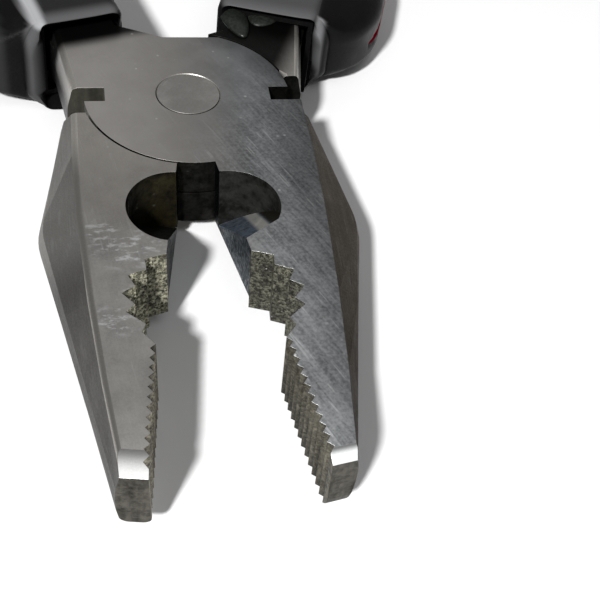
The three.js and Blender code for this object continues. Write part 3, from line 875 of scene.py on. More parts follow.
@dataclass
class ForgedHalf:
    """One forging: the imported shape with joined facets, broken edges and a finish for each zone."""

    node: str
    body: Body
    rest_angle: float
    flipped: bool
    finishes: Dict[Zone, SteelFinish]
    sizes: HeadSizes = field(default_factory=HeadSizes)
    edge_width: float = 0.045
    edge_facets: int = 2
    strip_width: float = 0.6
    strip_start: float = 0.5
    ridge_width: float = 0.0
    tip_round: float = 1.2
    tip_cut: BevelOn = BevelOn.EDGES
    round_facets: int = 4
    edge_angle: float = math.radians(26.0)
    crease_angle: float = math.radians(12.0)
    merge_distance: float = 0.004
    flat_angle: float = math.radians(0.4)

    # Parts of a face's unit normal that tell which way it points
    LEVEL = 0.9
    SLOPING = 0.7
    LEANING = 0.4
    TO_OTHER_JAW = -0.8
    TO_OUTSIDE = -0.6
    TO_FRONT = -0.9

    def build(self, groups: SurfaceGroups) -> bpy.types.Object:
        """Builds and dresses the forging.

        Args:
            groups: the shared node groups.

        Returns:
            The finished piece, which stands for the CAD node.
        """
        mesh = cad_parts[self.node].data.copy()
        mesh.name = f"{self.node}_ground"
        self.join_facets(mesh)
        mesh.materials.clear()
        for zone in Zone:
            mesh.materials.append(self.finishes[zone].material(groups))
        mesh.polygons.foreach_set("material_index", self.zones(mesh))
        shade_smooth(mesh)
        mesh.set_sharp_from_angle(angle=self.crease_angle)
        self.weigh_edges(mesh)
        piece = new_object(f"{self.node}_ground", mesh)
        tip = piece.vertex_groups.new(name="tip_corners")
        tip.add(self.tip_corners(mesh), 1.0, "REPLACE")
        strip = self.bevel(piece, "rounded_shank", self.strip_width, self.round_facets,
                           BevelLimit.WEIGHT)
        strip.material = Zone.STRIP.value
        rounded = self.bevel(piece, "rounded_tip", self.tip_round, self.round_facets,
                             BevelLimit.GROUP)
        rounded.vertex_group = tip.name
        rounded.affect = self.tip_cut.value
        self.bevel(piece, "broken_edges", self.edge_width, self.edge_facets, BevelLimit.ANGLE)
        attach(piece, self.body.value)
        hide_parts(self.node)
        return piece

    def bevel(self, piece: bpy.types.Object, name: str, width: float, facets: int,
              limit: BevelLimit) -> bpy.types.BevelModifier:
        """Adds a bevel whose new faces keep the finish of their neighbours.

        Args:
            piece: the forging.
            name: name of the modifier.
            width: width in millimetres.
            facets: number of facets across it.
            limit: how it finds its edges.

        Returns:
            The modifier.
        """
        bevel = piece.modifiers.new(name, "BEVEL")
        bevel.width = width * MM
        bevel.segments = facets
        bevel.limit_method = limit.value
        bevel.angle_limit = self.edge_angle
        bevel.use_clamp_overlap = False
        bevel.material = KEPT_MATERIAL
        bevel.harden_normals = True
        return bevel

    def tip_corners(self, mesh: bpy.types.Mesh) -> List[int]:
        """The corners of the jaw's tip on the lower face, between which the edge is rounded.

        Args:
            mesh: the forging's mesh at rest, in metres.

        Returns:
            Numbers of the vertices.
        """
        size = self.sizes
        places = read_rows(mesh.vertices, "co") / MM
        reach = -self.closed(places, size.thickness)[:, 1]
        at_tip = (reach > size.jaw_reach - size.border_slack) & (places[:, 2] < size.bottom_skin)
        return np.flatnonzero(at_tip).tolist()

    def weigh_edges(self, mesh: bpy.types.Mesh) -> None:
        """Marks the long outer top edges of the shank and of the jaw, which are rounded more.

        Args:
            mesh: the forging's mesh at rest, in metres.
        """
        size = self.sizes
        ends = np.empty(len(mesh.edges) * 2, dtype=np.int32)
        mesh.edges.foreach_get("vertices", ends)
        first, second = ends.reshape(-1, 2).T
        x, y, z = self.closed(read_rows(mesh.vertices, "co") / MM, size.thickness).T
        height = size.thickness - z if self.flipped else z
        lowest, nearest = np.minimum(height[first], height[second]), np.minimum(y[first], y[second])
        innermost = np.maximum(x[first], x[second])
        along = np.abs(y[first] - y[second]) > np.abs(x[first] - x[second])
        on_top = (lowest > size.thickness - size.top_skin) & along
        outside = innermost < size.shank_edge_inset - size.joint_radius
        weight = (on_top & outside & (nearest > self.strip_start)).astype(np.float32)
        middle, reach = (x[first] + x[second]) / 2.0, -(y[first] + y[second]) / 2.0
        among_teeth = ((reach > size.pipe_start - size.teeth_margin)
                       & (reach < size.pipe_end + size.teeth_end_margin)
                       & (middle < size.pipe_depth + size.teeth_margin))
        from_pocket = np.hypot(middle, reach - size.relief_centre) - size.relief_radius
        from_joint = np.hypot(middle, reach) - size.joint_radius
        on_jaw = (reach > size.jaw_edge_start) & (middle > size.jaw_edge_inset)
        clear = (from_pocket >= size.pocket_margin) & (from_joint > size.joint_edge_margin)
        weight[on_top & on_jaw & clear & ~among_teeth] = self.ridge_width / self.strip_width
        mesh.attributes.new(BEVEL_WEIGHT, "FLOAT", "EDGE").data.foreach_set("value", weight)

    def join_facets(self, mesh: bpy.types.Mesh) -> None:
        """Merges the loose triangles and joins those that lie in one plane.

        Args:
            mesh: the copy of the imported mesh.
        """
        work = bmesh.new()
        work.from_mesh(mesh)
        bmesh.ops.remove_doubles(work, verts=work.verts, dist=self.merge_distance * MM)
        bmesh.ops.dissolve_limit(work, angle_limit=self.flat_angle, verts=work.verts,
                                 edges=work.edges)
        work.to_mesh(mesh)
        work.free()

    def closed(self, vectors: Array, height: float) -> Array:
        """Vectors carried into the closed frame, where the jaw lies at +X and the cheek on top.

        Args:
            vectors: rows of x, y, z at rest.
            height: Z that a turned-over forging's zero height has, or 0 for directions.

        Returns:
            The same rows in the closed frame.
        """
        closed = turned(vectors, self.rest_angle if self.flipped else -self.rest_angle)
        if self.flipped:
            closed = closed * np.array([-1.0, 1.0, -1.0]) + np.array([0.0, 0.0, height])
        return closed

    def zones(self, mesh: bpy.types.Mesh) -> Array:
        """The zone of each face, from where its middle lies and which way it points.

        Where several rules hold for a face, the last one counts, and a face of no rule is flank.

        Args:
            mesh: the forging's mesh at rest, in metres.

        Returns:
            A material index per face.
        """
        size = self.sizes
        centre = read_rows(mesh.polygons, "center") / MM
        x, y, z = self.closed(centre, size.thickness).T
        to_x, to_y, to_z = self.closed(read_rows(mesh.polygons, "normal"), 0.0).T
        steep = np.abs(to_z)
        reach, radius = -y, np.hypot(x, y)
        past_joint = reach > size.joint_radius
        near_tip = reach > size.jaw_reach - size.border_slack
        joint = (radius < size.joint_radius + size.joint_margin) | (y > size.joint_back)
        blade = past_joint & (reach < size.pipe_start + size.border_slack) & (x < size.blade_depth)
        teeth = (reach > size.pipe_start) & (reach < size.pipe_end) & (x < size.pipe_depth)
        serration = ((reach >= size.pipe_end - size.border_slack) & (x < size.serration_depth)
                     & (reach < size.jaw_reach - size.border_slack))
        from_pocket = np.hypot(x, reach - size.relief_centre) - size.relief_radius
        pocket = (from_pocket < size.pocket_slack) & past_joint
        shank = (x < size.shank_inset - size.joint_radius) & (y > size.shank_start)
        at_faces = (z < size.face_skin) | (z > size.thickness - size.face_skin)
        outer_face = (steep > self.LEVEL) & at_faces
        rules = (
            (joint, Zone.JOINT),
            (blade, Zone.BLADE),
            (teeth, Zone.TEETH),
            (serration, Zone.SERRATION),
            (pocket, Zone.POCKET),
            (pocket & (steep > self.LEANING), Zone.FLOOR),
            (blade & ~teeth & ~serration & (to_x < self.TO_OTHER_JAW), Zone.BLADE),
            (shank & (to_x < self.TO_OUTSIDE), Zone.SHANK),
            (radius < size.rivet_radius + size.rivet_margin, Zone.STRIP),
            (outer_face, Zone.GROUND),
            (outer_face & (y > size.heel_start), Zone.HEEL),
            ((steep > self.SLOPING) & (reach > size.jaw_reach - size.bevel_length), Zone.TIP),
            (near_tip & (to_y < self.TO_FRONT), Zone.NOSE),
        )
        found = np.full(len(centre), Zone.FLANK.value, dtype=np.int32)
        for where, zone in rules:
            found[where] = zone.value
        beside = (np.abs(x) > size.notch_floor) & (np.abs(y) < size.notch_half) & (centre[:, 0] < 0.0)
        found[beside & (found == Zone.JOINT.value)] = Zone.NOTCH.value
        return found


@dataclass
class PivotRivet:
    """The rivet: a lathe profile with a faintly dished flush head at each end and a broken rim."""

    finish: SteelFinish
    radius: float = 3.5
    neck: float = 2.9
    flare: float = 0.9
    thickness: float = 8.6
    rim_round: float = 0.05
    dish: float = 0.03
    eye: float = 0.03
    crease_angle: float = math.radians(35.0)
    around: int = 128
    face_rings: int = 8
    rim_rings: int = 6

    def build(self, groups: SurfaceGroups) -> bpy.types.Object:
        """Builds and dresses the rivet.

        Args:
            groups: the shared node groups.

        Returns:
            The finished piece, which stands for the CAD node.
        """
        angle = np.linspace(0.0, FULL_TURN, self.around, endpoint=False)
        profile = self.profile()
        radius, height = profile[:, :1], profile[:, 1:]
        rings = np.stack([radius * np.cos(angle), radius * np.sin(angle),
                          np.repeat(height, self.around, axis=1)], axis=-1)
        mesh = tube_mesh("pivot_rivet_head", rings)
        mesh.set_sharp_from_angle(angle=self.crease_angle)
        mesh.materials.append(self.finish.material(groups))
        piece = new_object("pivot_rivet_head", mesh)
        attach(piece, Body.UPPER.value)
        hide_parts("pivot_rivet")
        return piece

    def profile(self) -> Array:
        """Radius and height from the lower head's middle to the upper one's.

        A head is dished by a square law towards its middle, where a small eye is left to the fan. It
        rounds over its rim in a quarter circle, and narrows in a straight cone to the neck. The upper
        half is the lower one mirrored in the middle height.

        Returns:
            Rows of radius and height in millimetres.
        """
        face = np.linspace(self.eye, 1.0, self.face_rings) * (self.radius - self.rim_round)
        sunk = self.dish * (1.0 - (face / self.radius) ** 2)
        turn = np.linspace(0.0, QUARTER_TURN, self.rim_rings)[1:]
        rim = np.stack([self.radius - self.rim_round * (1.0 - np.sin(turn)),
                        self.rim_round * (1.0 - np.cos(turn))], axis=-1)
        low = np.concatenate([np.stack([face, sunk], axis=-1), rim, [[self.neck, self.flare]]])
        high = low[::-1] * np.array([1.0, -1.0]) + np.array([0.0, self.thickness])
        return np.concatenate([low, high])


@dataclass(frozen=True)
class GripTones:
    """How much painted sheen and highlight lighten the parts of a cover, from 0 to 1, and where each
    fades.

    Spans are in millimetres. Depths count from the cover's front, skins from its top, the ridge's spans
    from the ridge, the column's outer one from its width, and the others from the centre line.
    """

    hood: float = 0.12
    rim: float = 0.33
    ridge: float = 0.0
    column: float = 0.26
    guard: float = 0.0
    column_width: float = 1.6
    column_inner: Span = (4.2, 4.8)
    column_outer: Span = (4.1, 4.9)
    column_depth: Span = (1.0, 1.6)
    hood_skin: Span = (-0.7, -0.1)
    rim_depth: Span = (0.4, 2.5)
    ridge_inner: Span = (-1.6, -0.5)
    ridge_outer: Span = (0.1, 0.8)
    ridge_skin: Span = (-1.4, -0.6)
    guard_outer: Span = (7.8, 9.0)
    mouth_margin: float = 0.05


@dataclass(frozen=True)
class GripSteps:
    """How finely a grip's surfaces are cut: rings along each stretch, and points round a ring."""

    dome: int = 18
    body: int = 40
    guard_fall: int = 30
    guard_crest: int = 8
    guard_rise: int = 40
    before_guard: int = 6
    lip: int = 9
    bore: int = 24
    corner: int = 10
    flat: int = 26
    stripe: int = 140
    stripe_around: int = 40


@dataclass
class Grip:
    """One grip: the cover with its hooded mouth and thumb guard, the stripe, and the liner's finish.

    Sizes are in millimetres, and stations run along the handle from the pivot. The lip's top and the
    mouth's roof are shares of the half height, the stripe's point and end share are shares of the full
    stripe, its square is a power, and the eye left open in the rounded end is in radians.
    """

    side: Side
    body: Body
    rest_angle: float
    cover: PlasticFinish
    stripe: PlasticFinish
    liner: PlasticFinish
    tones: GripTones
    steps: GripSteps = field(default_factory=GripSteps)
    mid: float = 4.3
    line_front: float = 13.5
    front: float = 13.5
    end: float = 155.0
    front_centre: float = 9.75
    rear_centre: float = 17.0
    bow: float = 3.5
    front_width: float = 12.9
    width: float = 14.4
    widen_length: float = 35.0
    half_height: float = 6.5
    outer_round: float = 4.0
    outer_round_span: Span = (30.0, 75.0)
    ridge_round: float = 1.2
    ridge_reach: float = 4.8
    ridge_length: float = 34.0
    inner_front: float = 6.45
    inner_round: float = 1.6
    end_round: float = 8.0
    end_eye: float = 0.03
    lip_round: float = 0.3
    lip_top: Span = (0.72, 0.97)
    column_round: float = 1.0
    mouth_inner: float = 5.65
    mouth_outer: float = 4.1
    mouth_half_height: float = 5.6
    mouth_round: float = 0.8
    mouth_setback: float = 0.5
    mouth_roof: Span = (0.6, 0.98)
    mouth_floor: float = 18.1
    hood_setback: float = 2.0
    bore_half_width: float = 4.85
    bore_half_height: float = 4.55
    bore_round: float = 0.3
    bore_end: float = 149.3
    guard_reach: float = 5.8
    guard_half_height: float = 5.9
    rim_top: float = 1.6
    rim_bottom: float = 3.4
    guard_front: float = 14.3
    guard_rise: float = 10.5
    guard_crest: float = 5.0
    guard_fall: float = 26.0
    stripe_start: float = 22.5
    stripe_end: float = 143.0
    stripe_width: float = 2.4
    stripe_height: float = -1.4
    stripe_taper: float = 14.0
    stripe_point: float = 0.01
    stripe_proud: float = 0.1
    stripe_depth: float = 1.2
    stripe_end_share: float = 0.4
    stripe_square: float = 0.5
    groove_depth: float = 0.35
    groove_run_out: float = 0.6
    groove_soft: float = 0.35
    rake_outer: float = 0.0
    rake_inner: float = 0.0
    rake_span: Span = (2.0, 5.0)
    rake_length: float = 20.0
    crease_angle: float = math.radians(50.0)

    @property
    def name(self) -> str:
        """The side's word, as it stands in the names of the nodes."""
        return self.side.name.lower()

    @property
    def guard_back(self) -> float:
        """Station where the guard's crest ends and its fall begins."""
        return self.guard_front + self.guard_rise + self.guard_crest

    def build(self, groups: SurfaceGroups) -> List[bpy.types.Object]:
        """Builds and dresses the grip's pieces.

        Args:
            groups: the shared node groups.

        Returns:
            The finished pieces.
        """
        cover = self.dress(f"{self.name}_cover_shell", self.cover_rings(), self.cover, groups,
                           self.cover_tone)
        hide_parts(f"{self.name}_grip_cover")
        stripe = self.dress(f"{self.name}_stripe_inlay", self.stripe_rings(), self.stripe, groups)
        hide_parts(f"{self.name}_grip_stripe")
        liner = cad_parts[f"{self.name}_grip_liner"]
        liner.data.materials.clear()
        liner.data.materials.append(self.liner.material(groups))
        return [cover, stripe, liner]

    def dress(self, name: str, rings: Array, finish: PlasticFinish, groups: SurfaceGroups,
              toning: Optional[Callable[[Array], Array]] = None) -> bpy.types.Object:
        """A piece from rings of handle coordinates, with its finish, riding on its body.

        Args:
            name: name of the piece.
            rings: array of ring, point and station, outward distance and height in millimetres.
            finish: its finish.
            groups: the shared node groups.
            toning: how much painted sheen lightens each ring point, or none.

        Returns:
            The piece.
        """
        tone = toning(rings) if toning else None
        mesh = tube_mesh(name, self.place(*np.moveaxis(rings, -1, 0)), tone)
        mesh.set_sharp_from_angle(angle=self.crease_angle)
        mesh.materials.append(finish.material(groups))
        piece = new_object(name, mesh)
        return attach(piece, self.body.value)

    def place(self, y: Array, outwards: Array, height: Array) -> Array:
        """Points of the handle at rest.

        The handle's centre line stands c(y) from the head's middle: a straight run from the front
        centre to the rear centre plus a bow of half a sine wave. A point lies off it by an outward
        distance, square to the line, and by a height. The mouth's walls lean back: near the front the
        station grows with the depth under the hood's top, by the side's rake. The point is then turned
        about the pivot to the rest opening.

        Args:
            y: station along the handle.
            outwards: distance outwards from the centre line.
            height: height over the handle's middle.

        Returns:
            Points with x, y, z on the last axis.
        """
        depth = np.clip((self.half_height - height) / (2.0 * self.half_height), 0.0, 1.0)
        lean = (self.rake_outer * fade(outwards, 0.0, self.rake_span)
                + self.rake_inner * fade(-outwards, 0.0, self.rake_span))
        y = y + depth * lean * (1.0 - smoothstep(y, self.front, self.front + self.rake_length))
        length = self.end - self.line_front
        spread = self.rear_centre - self.front_centre
        share = (y - self.line_front) / length
        centre = self.front_centre + spread * share + self.bow * np.sin(math.pi * share)
        slope = (spread + math.pi * self.bow * np.cos(math.pi * share)) / length
        run = np.hypot(1.0, slope)
        x = self.side.value * (centre + outwards / run)
        closed = np.stack([x, y - outwards * slope / run, self.mid + height], axis=-1)
        return turned(closed, -self.side.value * self.rest_angle)

    def half_width(self, y: Array) -> Array:
        """Half of the grip's width at each station, without the guard."""
        widen = smoothstep(y, self.line_front, self.line_front + self.widen_length)
        return (self.front_width + (self.width - self.front_width) * widen) / 2.0

    def guard(self, y: Array) -> Array:
        """How far the guard stands out: a quarter ellipse up, a crest, and a smooth fall.

        Args:
            y: stations.

        Returns:
            The distance at each station.
        """
        left = 1.0 - np.clip((y - self.guard_front) / self.guard_rise, 0.0, 1.0)
        fall = smoothstep(y, self.guard_back, self.guard_back + self.guard_fall)
        return self.guard_reach * np.sqrt(1.0 - left ** 2) * (1.0 - fall)

    def section(self, inner: Array, outer: Array, half_height: Array, inner_round: Array,
                outer_round: Array) -> Tuple[Array, Array]:
        """Rounded rectangles, one per station.

        Each corner is a quarter circle about the corner's own centre, and the sides between are
        straight.

        Args:
            inner: reach of the section inwards from the centre line.
            outer: reach outwards.
            half_height: half of its height.
            inner_round: radius of the two inner corners.
            outer_round: radius of the two outer corners.

        Returns:
            Outward distances and heights, as arrays of station and point.
        """
        quarter = np.linspace(0.0, QUARTER_TURN, self.steps.corner)
        corners = [(1.0, 1.0, outer, outer_round), (-1.0, 1.0, inner, inner_round),
                   (-1.0, -1.0, inner, inner_round), (1.0, -1.0, outer, outer_round)]
        arcs = []
        for number, (sideways, upwards, reach, radius) in enumerate(corners):
            angle = quarter + number * QUARTER_TURN
            arcs.append((sideways * (reach - radius)[:, None] + radius[:, None] * np.cos(angle),
                         upwards * (half_height - radius)[:, None] + radius[:, None] * np.sin(angle)))
        between = np.linspace(0.0, 1.0, self.steps.flat + 2)[1:-1]
        columns: Tuple[List[Array], List[Array]] = ([], [])
        for arc, following in zip(arcs, arcs[1:] + arcs[:1]):
            for axis, column in enumerate(columns):
                start, stop = arc[axis][:, -1:], following[axis][:, :1]
                column += [arc[axis], start + (stop - start) * between]
        return np.concatenate(columns[0], axis=1), np.concatenate(columns[1], axis=1)

    def cover_rings(self) -> Array:
        """The cover as one skin: from the rounded end over the outside to the lip, and in to the bore.

        Outside, the section is the grip's rounded rectangle, shrunk by an ellipse's law over the
        rounded end. Its outer corners are tighter at the hood than along the handle. The guard is
        added to the outer side as a wedge with a blunt rim, and a groove for the stripe runs along
        that rim.

        Returns:
            Array of ring, point and station, outward distance and height.
        """
        outside = self.outside_stations()
        over_end = np.clip((outside - (self.end - self.end_round)) / self.end_round, 0.0, 1.0)
        shrink = np.sqrt(1.0 - over_end ** 2)
        half = self.half_width(outside) * shrink
        spread = smoothstep(outside, self.front, self.front + self.ridge_length)
        ridge, inner = self.ridge_reach * shrink, self.inner_front * shrink
        ridge, inner = ridge + (half - ridge) * spread, inner + (half - inner) * spread
        corner = self.ridge_round + (self.outer_round - self.ridge_round) * fade(
            outside, 0.0, self.outer_round_span)
        across, height = self.section(inner, ridge, self.half_height * shrink,
                                      self.inner_round * shrink, corner * shrink)
        across = across + self.swelling(outside, across, height, half - ridge)
        station = np.repeat(outside[:, None], across.shape[1], axis=1)
        outer_rings = np.stack([station, across, height], axis=-1)
        lip_rings = self.lip_rings(across[-1], height[-1])
        return np.concatenate([outer_rings, lip_rings, self.bore_rings()])

    def outside_stations(self) -> Array:
        """Stations of the cover's outside, from the rounded end to the lip, close where it bends.

        Returns:
            The falling stations.
        """
        steps, body_end = self.steps, self.end - self.end_round
        guard_end, lip = self.guard_back + self.guard_fall, self.front + self.column_round
        past_end = np.sin(np.linspace(QUARTER_TURN - self.end_eye, 0.0, steps.dome))
        dome = self.end - self.end_round * (1.0 - past_end)
        body = np.linspace(body_end, guard_end, steps.body)[1:]
        fall = np.linspace(guard_end, self.guard_back, steps.guard_fall)[1:]
        crest_share = np.linspace(1.0, 0.0, steps.guard_crest)[1:]
        crest = self.guard_front + self.guard_rise + self.guard_crest * crest_share
        past_rise = np.sin(np.linspace(0.0, QUARTER_TURN, steps.guard_rise)[1:])
        rise = self.guard_front + self.guard_rise * (1.0 - past_rise)
        before = np.linspace(self.guard_front, lip, steps.before_guard)[1:]
        before = before if self.guard_front > lip else np.array([lip])
        stations = np.concatenate([dome, body, fall, crest, rise, before])
        return stations[stations >= lip]

    def swelling(self, y: Array, across: Array, height: Array, wall: Array) -> Array:
        """What the side wall and the guard add to the outer side, less the stripe's groove.

        The sum is full between the rim's two heights and falls to nothing at the guard's half height
        above and below, by a quarter of a sine wave.

        Args:
            y: stations.
            across: outward distances of the plain section.
            height: its heights.
            wall: how far the side wall stands out past the ridge at each station.

        Returns:
            What to add to the outward distances.
        """
        above = (self.guard_half_height - height) / (self.guard_half_height - self.rim_top)
        below = (self.guard_half_height + height) / (self.guard_half_height - self.rim_bottom)
        share = np.clip(np.minimum(above, below), 0.0, 1.0)
        full = np.sin(share * QUARTER_TURN) * (across > 0.0)
        run = self.groove_run_out
        along = smoothstep(y, self.stripe_start - run, self.stripe_start)
        along = along * (1.0 - smoothstep(y, self.stripe_end, self.stripe_end + run))
        past_edge = np.abs(height - self.stripe_height) - self.stripe_half(y)[:, None]
        sunk = (1.0 - smoothstep(past_edge, 0.0, self.groove_soft)) * (across > 0.0)
        return (self.guard(y) + wall)[:, None] * full - self.groove_depth * along[:, None] * sunk

    def stripe_half(self, y: Array) -> Array:
        """Half of the stripe's width: an ellipse's law over the taper at each end, even between.

        Args:
            y: stations.

        Returns:
            The half width at each station.
        """
        from_end = np.minimum(y - self.stripe_start, self.stripe_end - y) / self.stripe_taper
        left = 1.0 - np.clip(from_end, self.stripe_point, 1.0)
        return self.stripe_width / 2.0 * np.sqrt(1.0 - left ** 2)

    def lip_rings(self, across: Array, height: Array) -> Array:
        """The rounded front lip, and the undercut to the mouth's edge.

        The lip is a quarter ellipse: long along the handle on the outer side, where it reads as a
        column, and short under the hood. From it the skin goes in to the mouth's edge, which is set
        back under the hood.

        Args:
            across: outward distances of the last outside ring.
            height: its heights.

        Returns:
            Array of ring, point and station, outward distance and height.
        """
        turn = np.linspace(0.0, QUARTER_TURN, self.steps.lip)[1:, None]
        at_top = fade(np.abs(height) / self.half_height, 0.0, self.lip_top)
        inset = self.lip_round + (self.column_round - self.lip_round) * (1.0 - at_top)
        shrink = inset * (1.0 - np.cos(turn)) / np.hypot(across, height)
        station = self.front + self.column_round * (1.0 - np.sin(turn)) + np.zeros_like(shrink)
        lip = np.stack([station, across * (1.0 - shrink), height * (1.0 - shrink)], axis=-1)
        sizes = (self.mouth_inner, self.mouth_outer, self.mouth_half_height, self.mouth_round,
                 self.mouth_round)
        mouth_across, mouth_height = self.section(*(np.array([size]) for size in sizes))
        roof = fade(np.abs(mouth_height) / self.mouth_half_height, 0.0, self.mouth_roof)
        setback = self.mouth_setback + (self.hood_setback - self.mouth_setback) * roof
        edge, floor = self.front + setback, np.full_like(setback, self.mouth_floor)
        depth = np.concatenate([edge, (edge + floor) / 2.0, floor])
        walls = np.stack([depth, np.repeat(mouth_across, len(depth), axis=0),
                          np.repeat(mouth_height, len(depth), axis=0)], axis=-1)
        return np.concatenate([lip, walls])

    def bore_rings(self) -> Array:
        """The bore behind the mouth's floor, to its closed end.

        Returns:
            Array of ring, point and station, outward distance and height.
        """
        stations = np.linspace(self.mouth_floor, self.bore_end, self.steps.bore)
        sizes = (self.bore_half_width, self.bore_half_width, self.bore_half_height, self.bore_round,
                 self.bore_round)
        across, height = self.section(*(np.full_like(stations, size) for size in sizes))
        return np.stack([np.repeat(stations[:, None], across.shape[1], axis=1), across, height],
                        axis=-1)

    def cover_tone(self, rings: Array) -> Array:
        """How much painted sheen lightens the cover.

        The hood's top has a little painted sheen and its front rim more, the ridge between top and side
        has a painted highlight, the column beside the mouth a painted highlight in its middle, and the
        guard's outer part is painted lighter than the hollow before it, which is left as shade.

        Args:
            rings: the cover's rings.

        Returns:
            A value from 0 to 1 for each ring point.
        """
        tone = self.tones
        station, across, height = np.moveaxis(rings, -1, 0)
        column = 1.0 - fade(station, self.front, tone.column_depth)
        column = column * fade(across, 0.0, tone.column_inner)
        column = column * (1.0 - fade(across, tone.column_width, tone.column_outer))
        top = fade(height, self.half_height, tone.hood_skin)
        rim = 1.0 - fade(station, self.front, tone.rim_depth)
        ridge = fade(across, self.ridge_reach, tone.ridge_inner)
        ridge = ridge * fade(height, self.half_height, tone.ridge_skin)
        ridge = ridge * (1.0 - fade(across, self.ridge_reach, tone.ridge_outer))
        guard = fade(across, 0.0, tone.guard_outer)
        wear_and_sheen = np.maximum(top * (tone.hood + (tone.rim - tone.hood) * rim), tone.ridge * ridge)
        wear_and_sheen = np.maximum(wear_and_sheen, np.maximum(tone.column * column, tone.guard * guard))
        outside = ((np.abs(across) > self.mouth_outer + tone.mouth_margin)
                   | (np.abs(height) > self.mouth_half_height + tone.mouth_margin))
        return np.clip(wear_and_sheen * outside, 0.0, 1.0)

    def stripe_rings(self) -> Array:
        """The stripe: a flat bar with a softly crowned face along the outer edge over the guard.

        The section is a superellipse of power 4, half as wide as the stripe and half as deep as its
        thickness, and both ends taper to a point.

        Returns:
            Array of ring, point and station, outward distance and height.
        """
        share = np.sin(np.linspace(-QUARTER_TURN, QUARTER_TURN, self.steps.stripe))
        middle, reach = self.stripe_start + self.stripe_end, self.stripe_end - self.stripe_start
        y = middle / 2.0 + share * reach / 2.0
        angle = np.linspace(0.0, FULL_TURN, self.steps.stripe_around, endpoint=False)
        cos, sin = np.cos(angle), np.sin(angle)
        wide = np.sign(cos) * np.abs(cos) ** self.stripe_square
        deep = np.sign(sin) * np.abs(sin) ** self.stripe_square
        deep = deep * (self.stripe_depth + self.stripe_proud) / 2.0
        half = self.stripe_half(y)[:, None]
        fullness = half / (self.stripe_width / 2.0)
        thinning = self.stripe_end_share + (1.0 - self.stripe_end_share) * fullness
        rim = (self.half_width(y) + self.guard(y))[:, None]
        across = rim - (self.stripe_depth - self.stripe_proud) / 2.0 + deep[None, :] * thinning
        height = self.stripe_height + wide[None, :] * half
        return np.stack([np.repeat(y[:, None], angle.size, axis=1), across, height], axis=-1)


@dataclass(frozen=True)
class Tongue:
    """A tongue of flash: its middle, half of its width, length and thickness, and its lean.

    Sizes are in millimetres, and the lean is in radians, anticlockwise seen from above.
    """

    middle: Place
    half: Place
    lean: float


@dataclass
class MouthFlash:
    """Tongues of flash that the liner's moulding left in the right mouth, lying on the shank.

    The narrowing is a share of the width, and the eye left open at each end is in radians.
    """

    body: Body
    finish: PlasticFinish
    tongues: Tuple[Tongue, ...] = (
        Tongue(middle=(6.9, 13.8, 8.8), half=(1.9, 3.6, 0.7), lean=0.2),
        Tongue(middle=(10.3, 14.6, 8.8), half=(2.4, 2.2, 0.5), lean=-0.5),
    )
    narrowing: float = 0.2
    end_eye: float = 0.05
    around: int = 36
    steps: int = 18

    def build(self, groups: SurfaceGroups) -> List[bpy.types.Object]:
        """Builds and dresses the tongues.

        Args:
            groups: the shared node groups.

        Returns:
            The pieces.
        """
        material = self.finish.material(groups)
        pieces = []
        for number, tongue in enumerate(self.tongues, start=1):
            name = f"right_flash_{number}"
            mesh = tube_mesh(name, self.rings(tongue))
            mesh.materials.append(material)
            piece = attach(new_object(name, mesh), self.body.value)
            pieces.append(piece)
        return pieces

    def rings(self, tongue: Tongue) -> Array:
        """One tongue: a flattened ellipsoid, narrower at one end, turned about its middle.

        Args:
            tongue: its sizes.

        Returns:
            Array of ring, point and x, y, z.
        """
        width, length, thickness = tongue.half
        end = QUARTER_TURN - self.end_eye
        along = np.linspace(-end, end, self.steps)[:, None]
        turn = np.linspace(0.0, FULL_TURN, self.around, endpoint=False)[None, :]
        narrow = 1.0 - self.narrowing + self.narrowing * np.sin(along)
        points = np.stack([width * np.cos(along) * np.cos(turn) * narrow,
                           length * np.sin(along) + np.zeros_like(turn),
                           thickness * np.cos(along) * np.sin(turn)], axis=-1)
        return turned(points, tongue.lean) + np.array(tongue.middle)


@dataclass(frozen=True)
class Lamp:
    """A round soft lamp: where it hangs and its diameter, in metres, and its power in watts."""

    name: str
    place: Place
    size: float
    watts: float


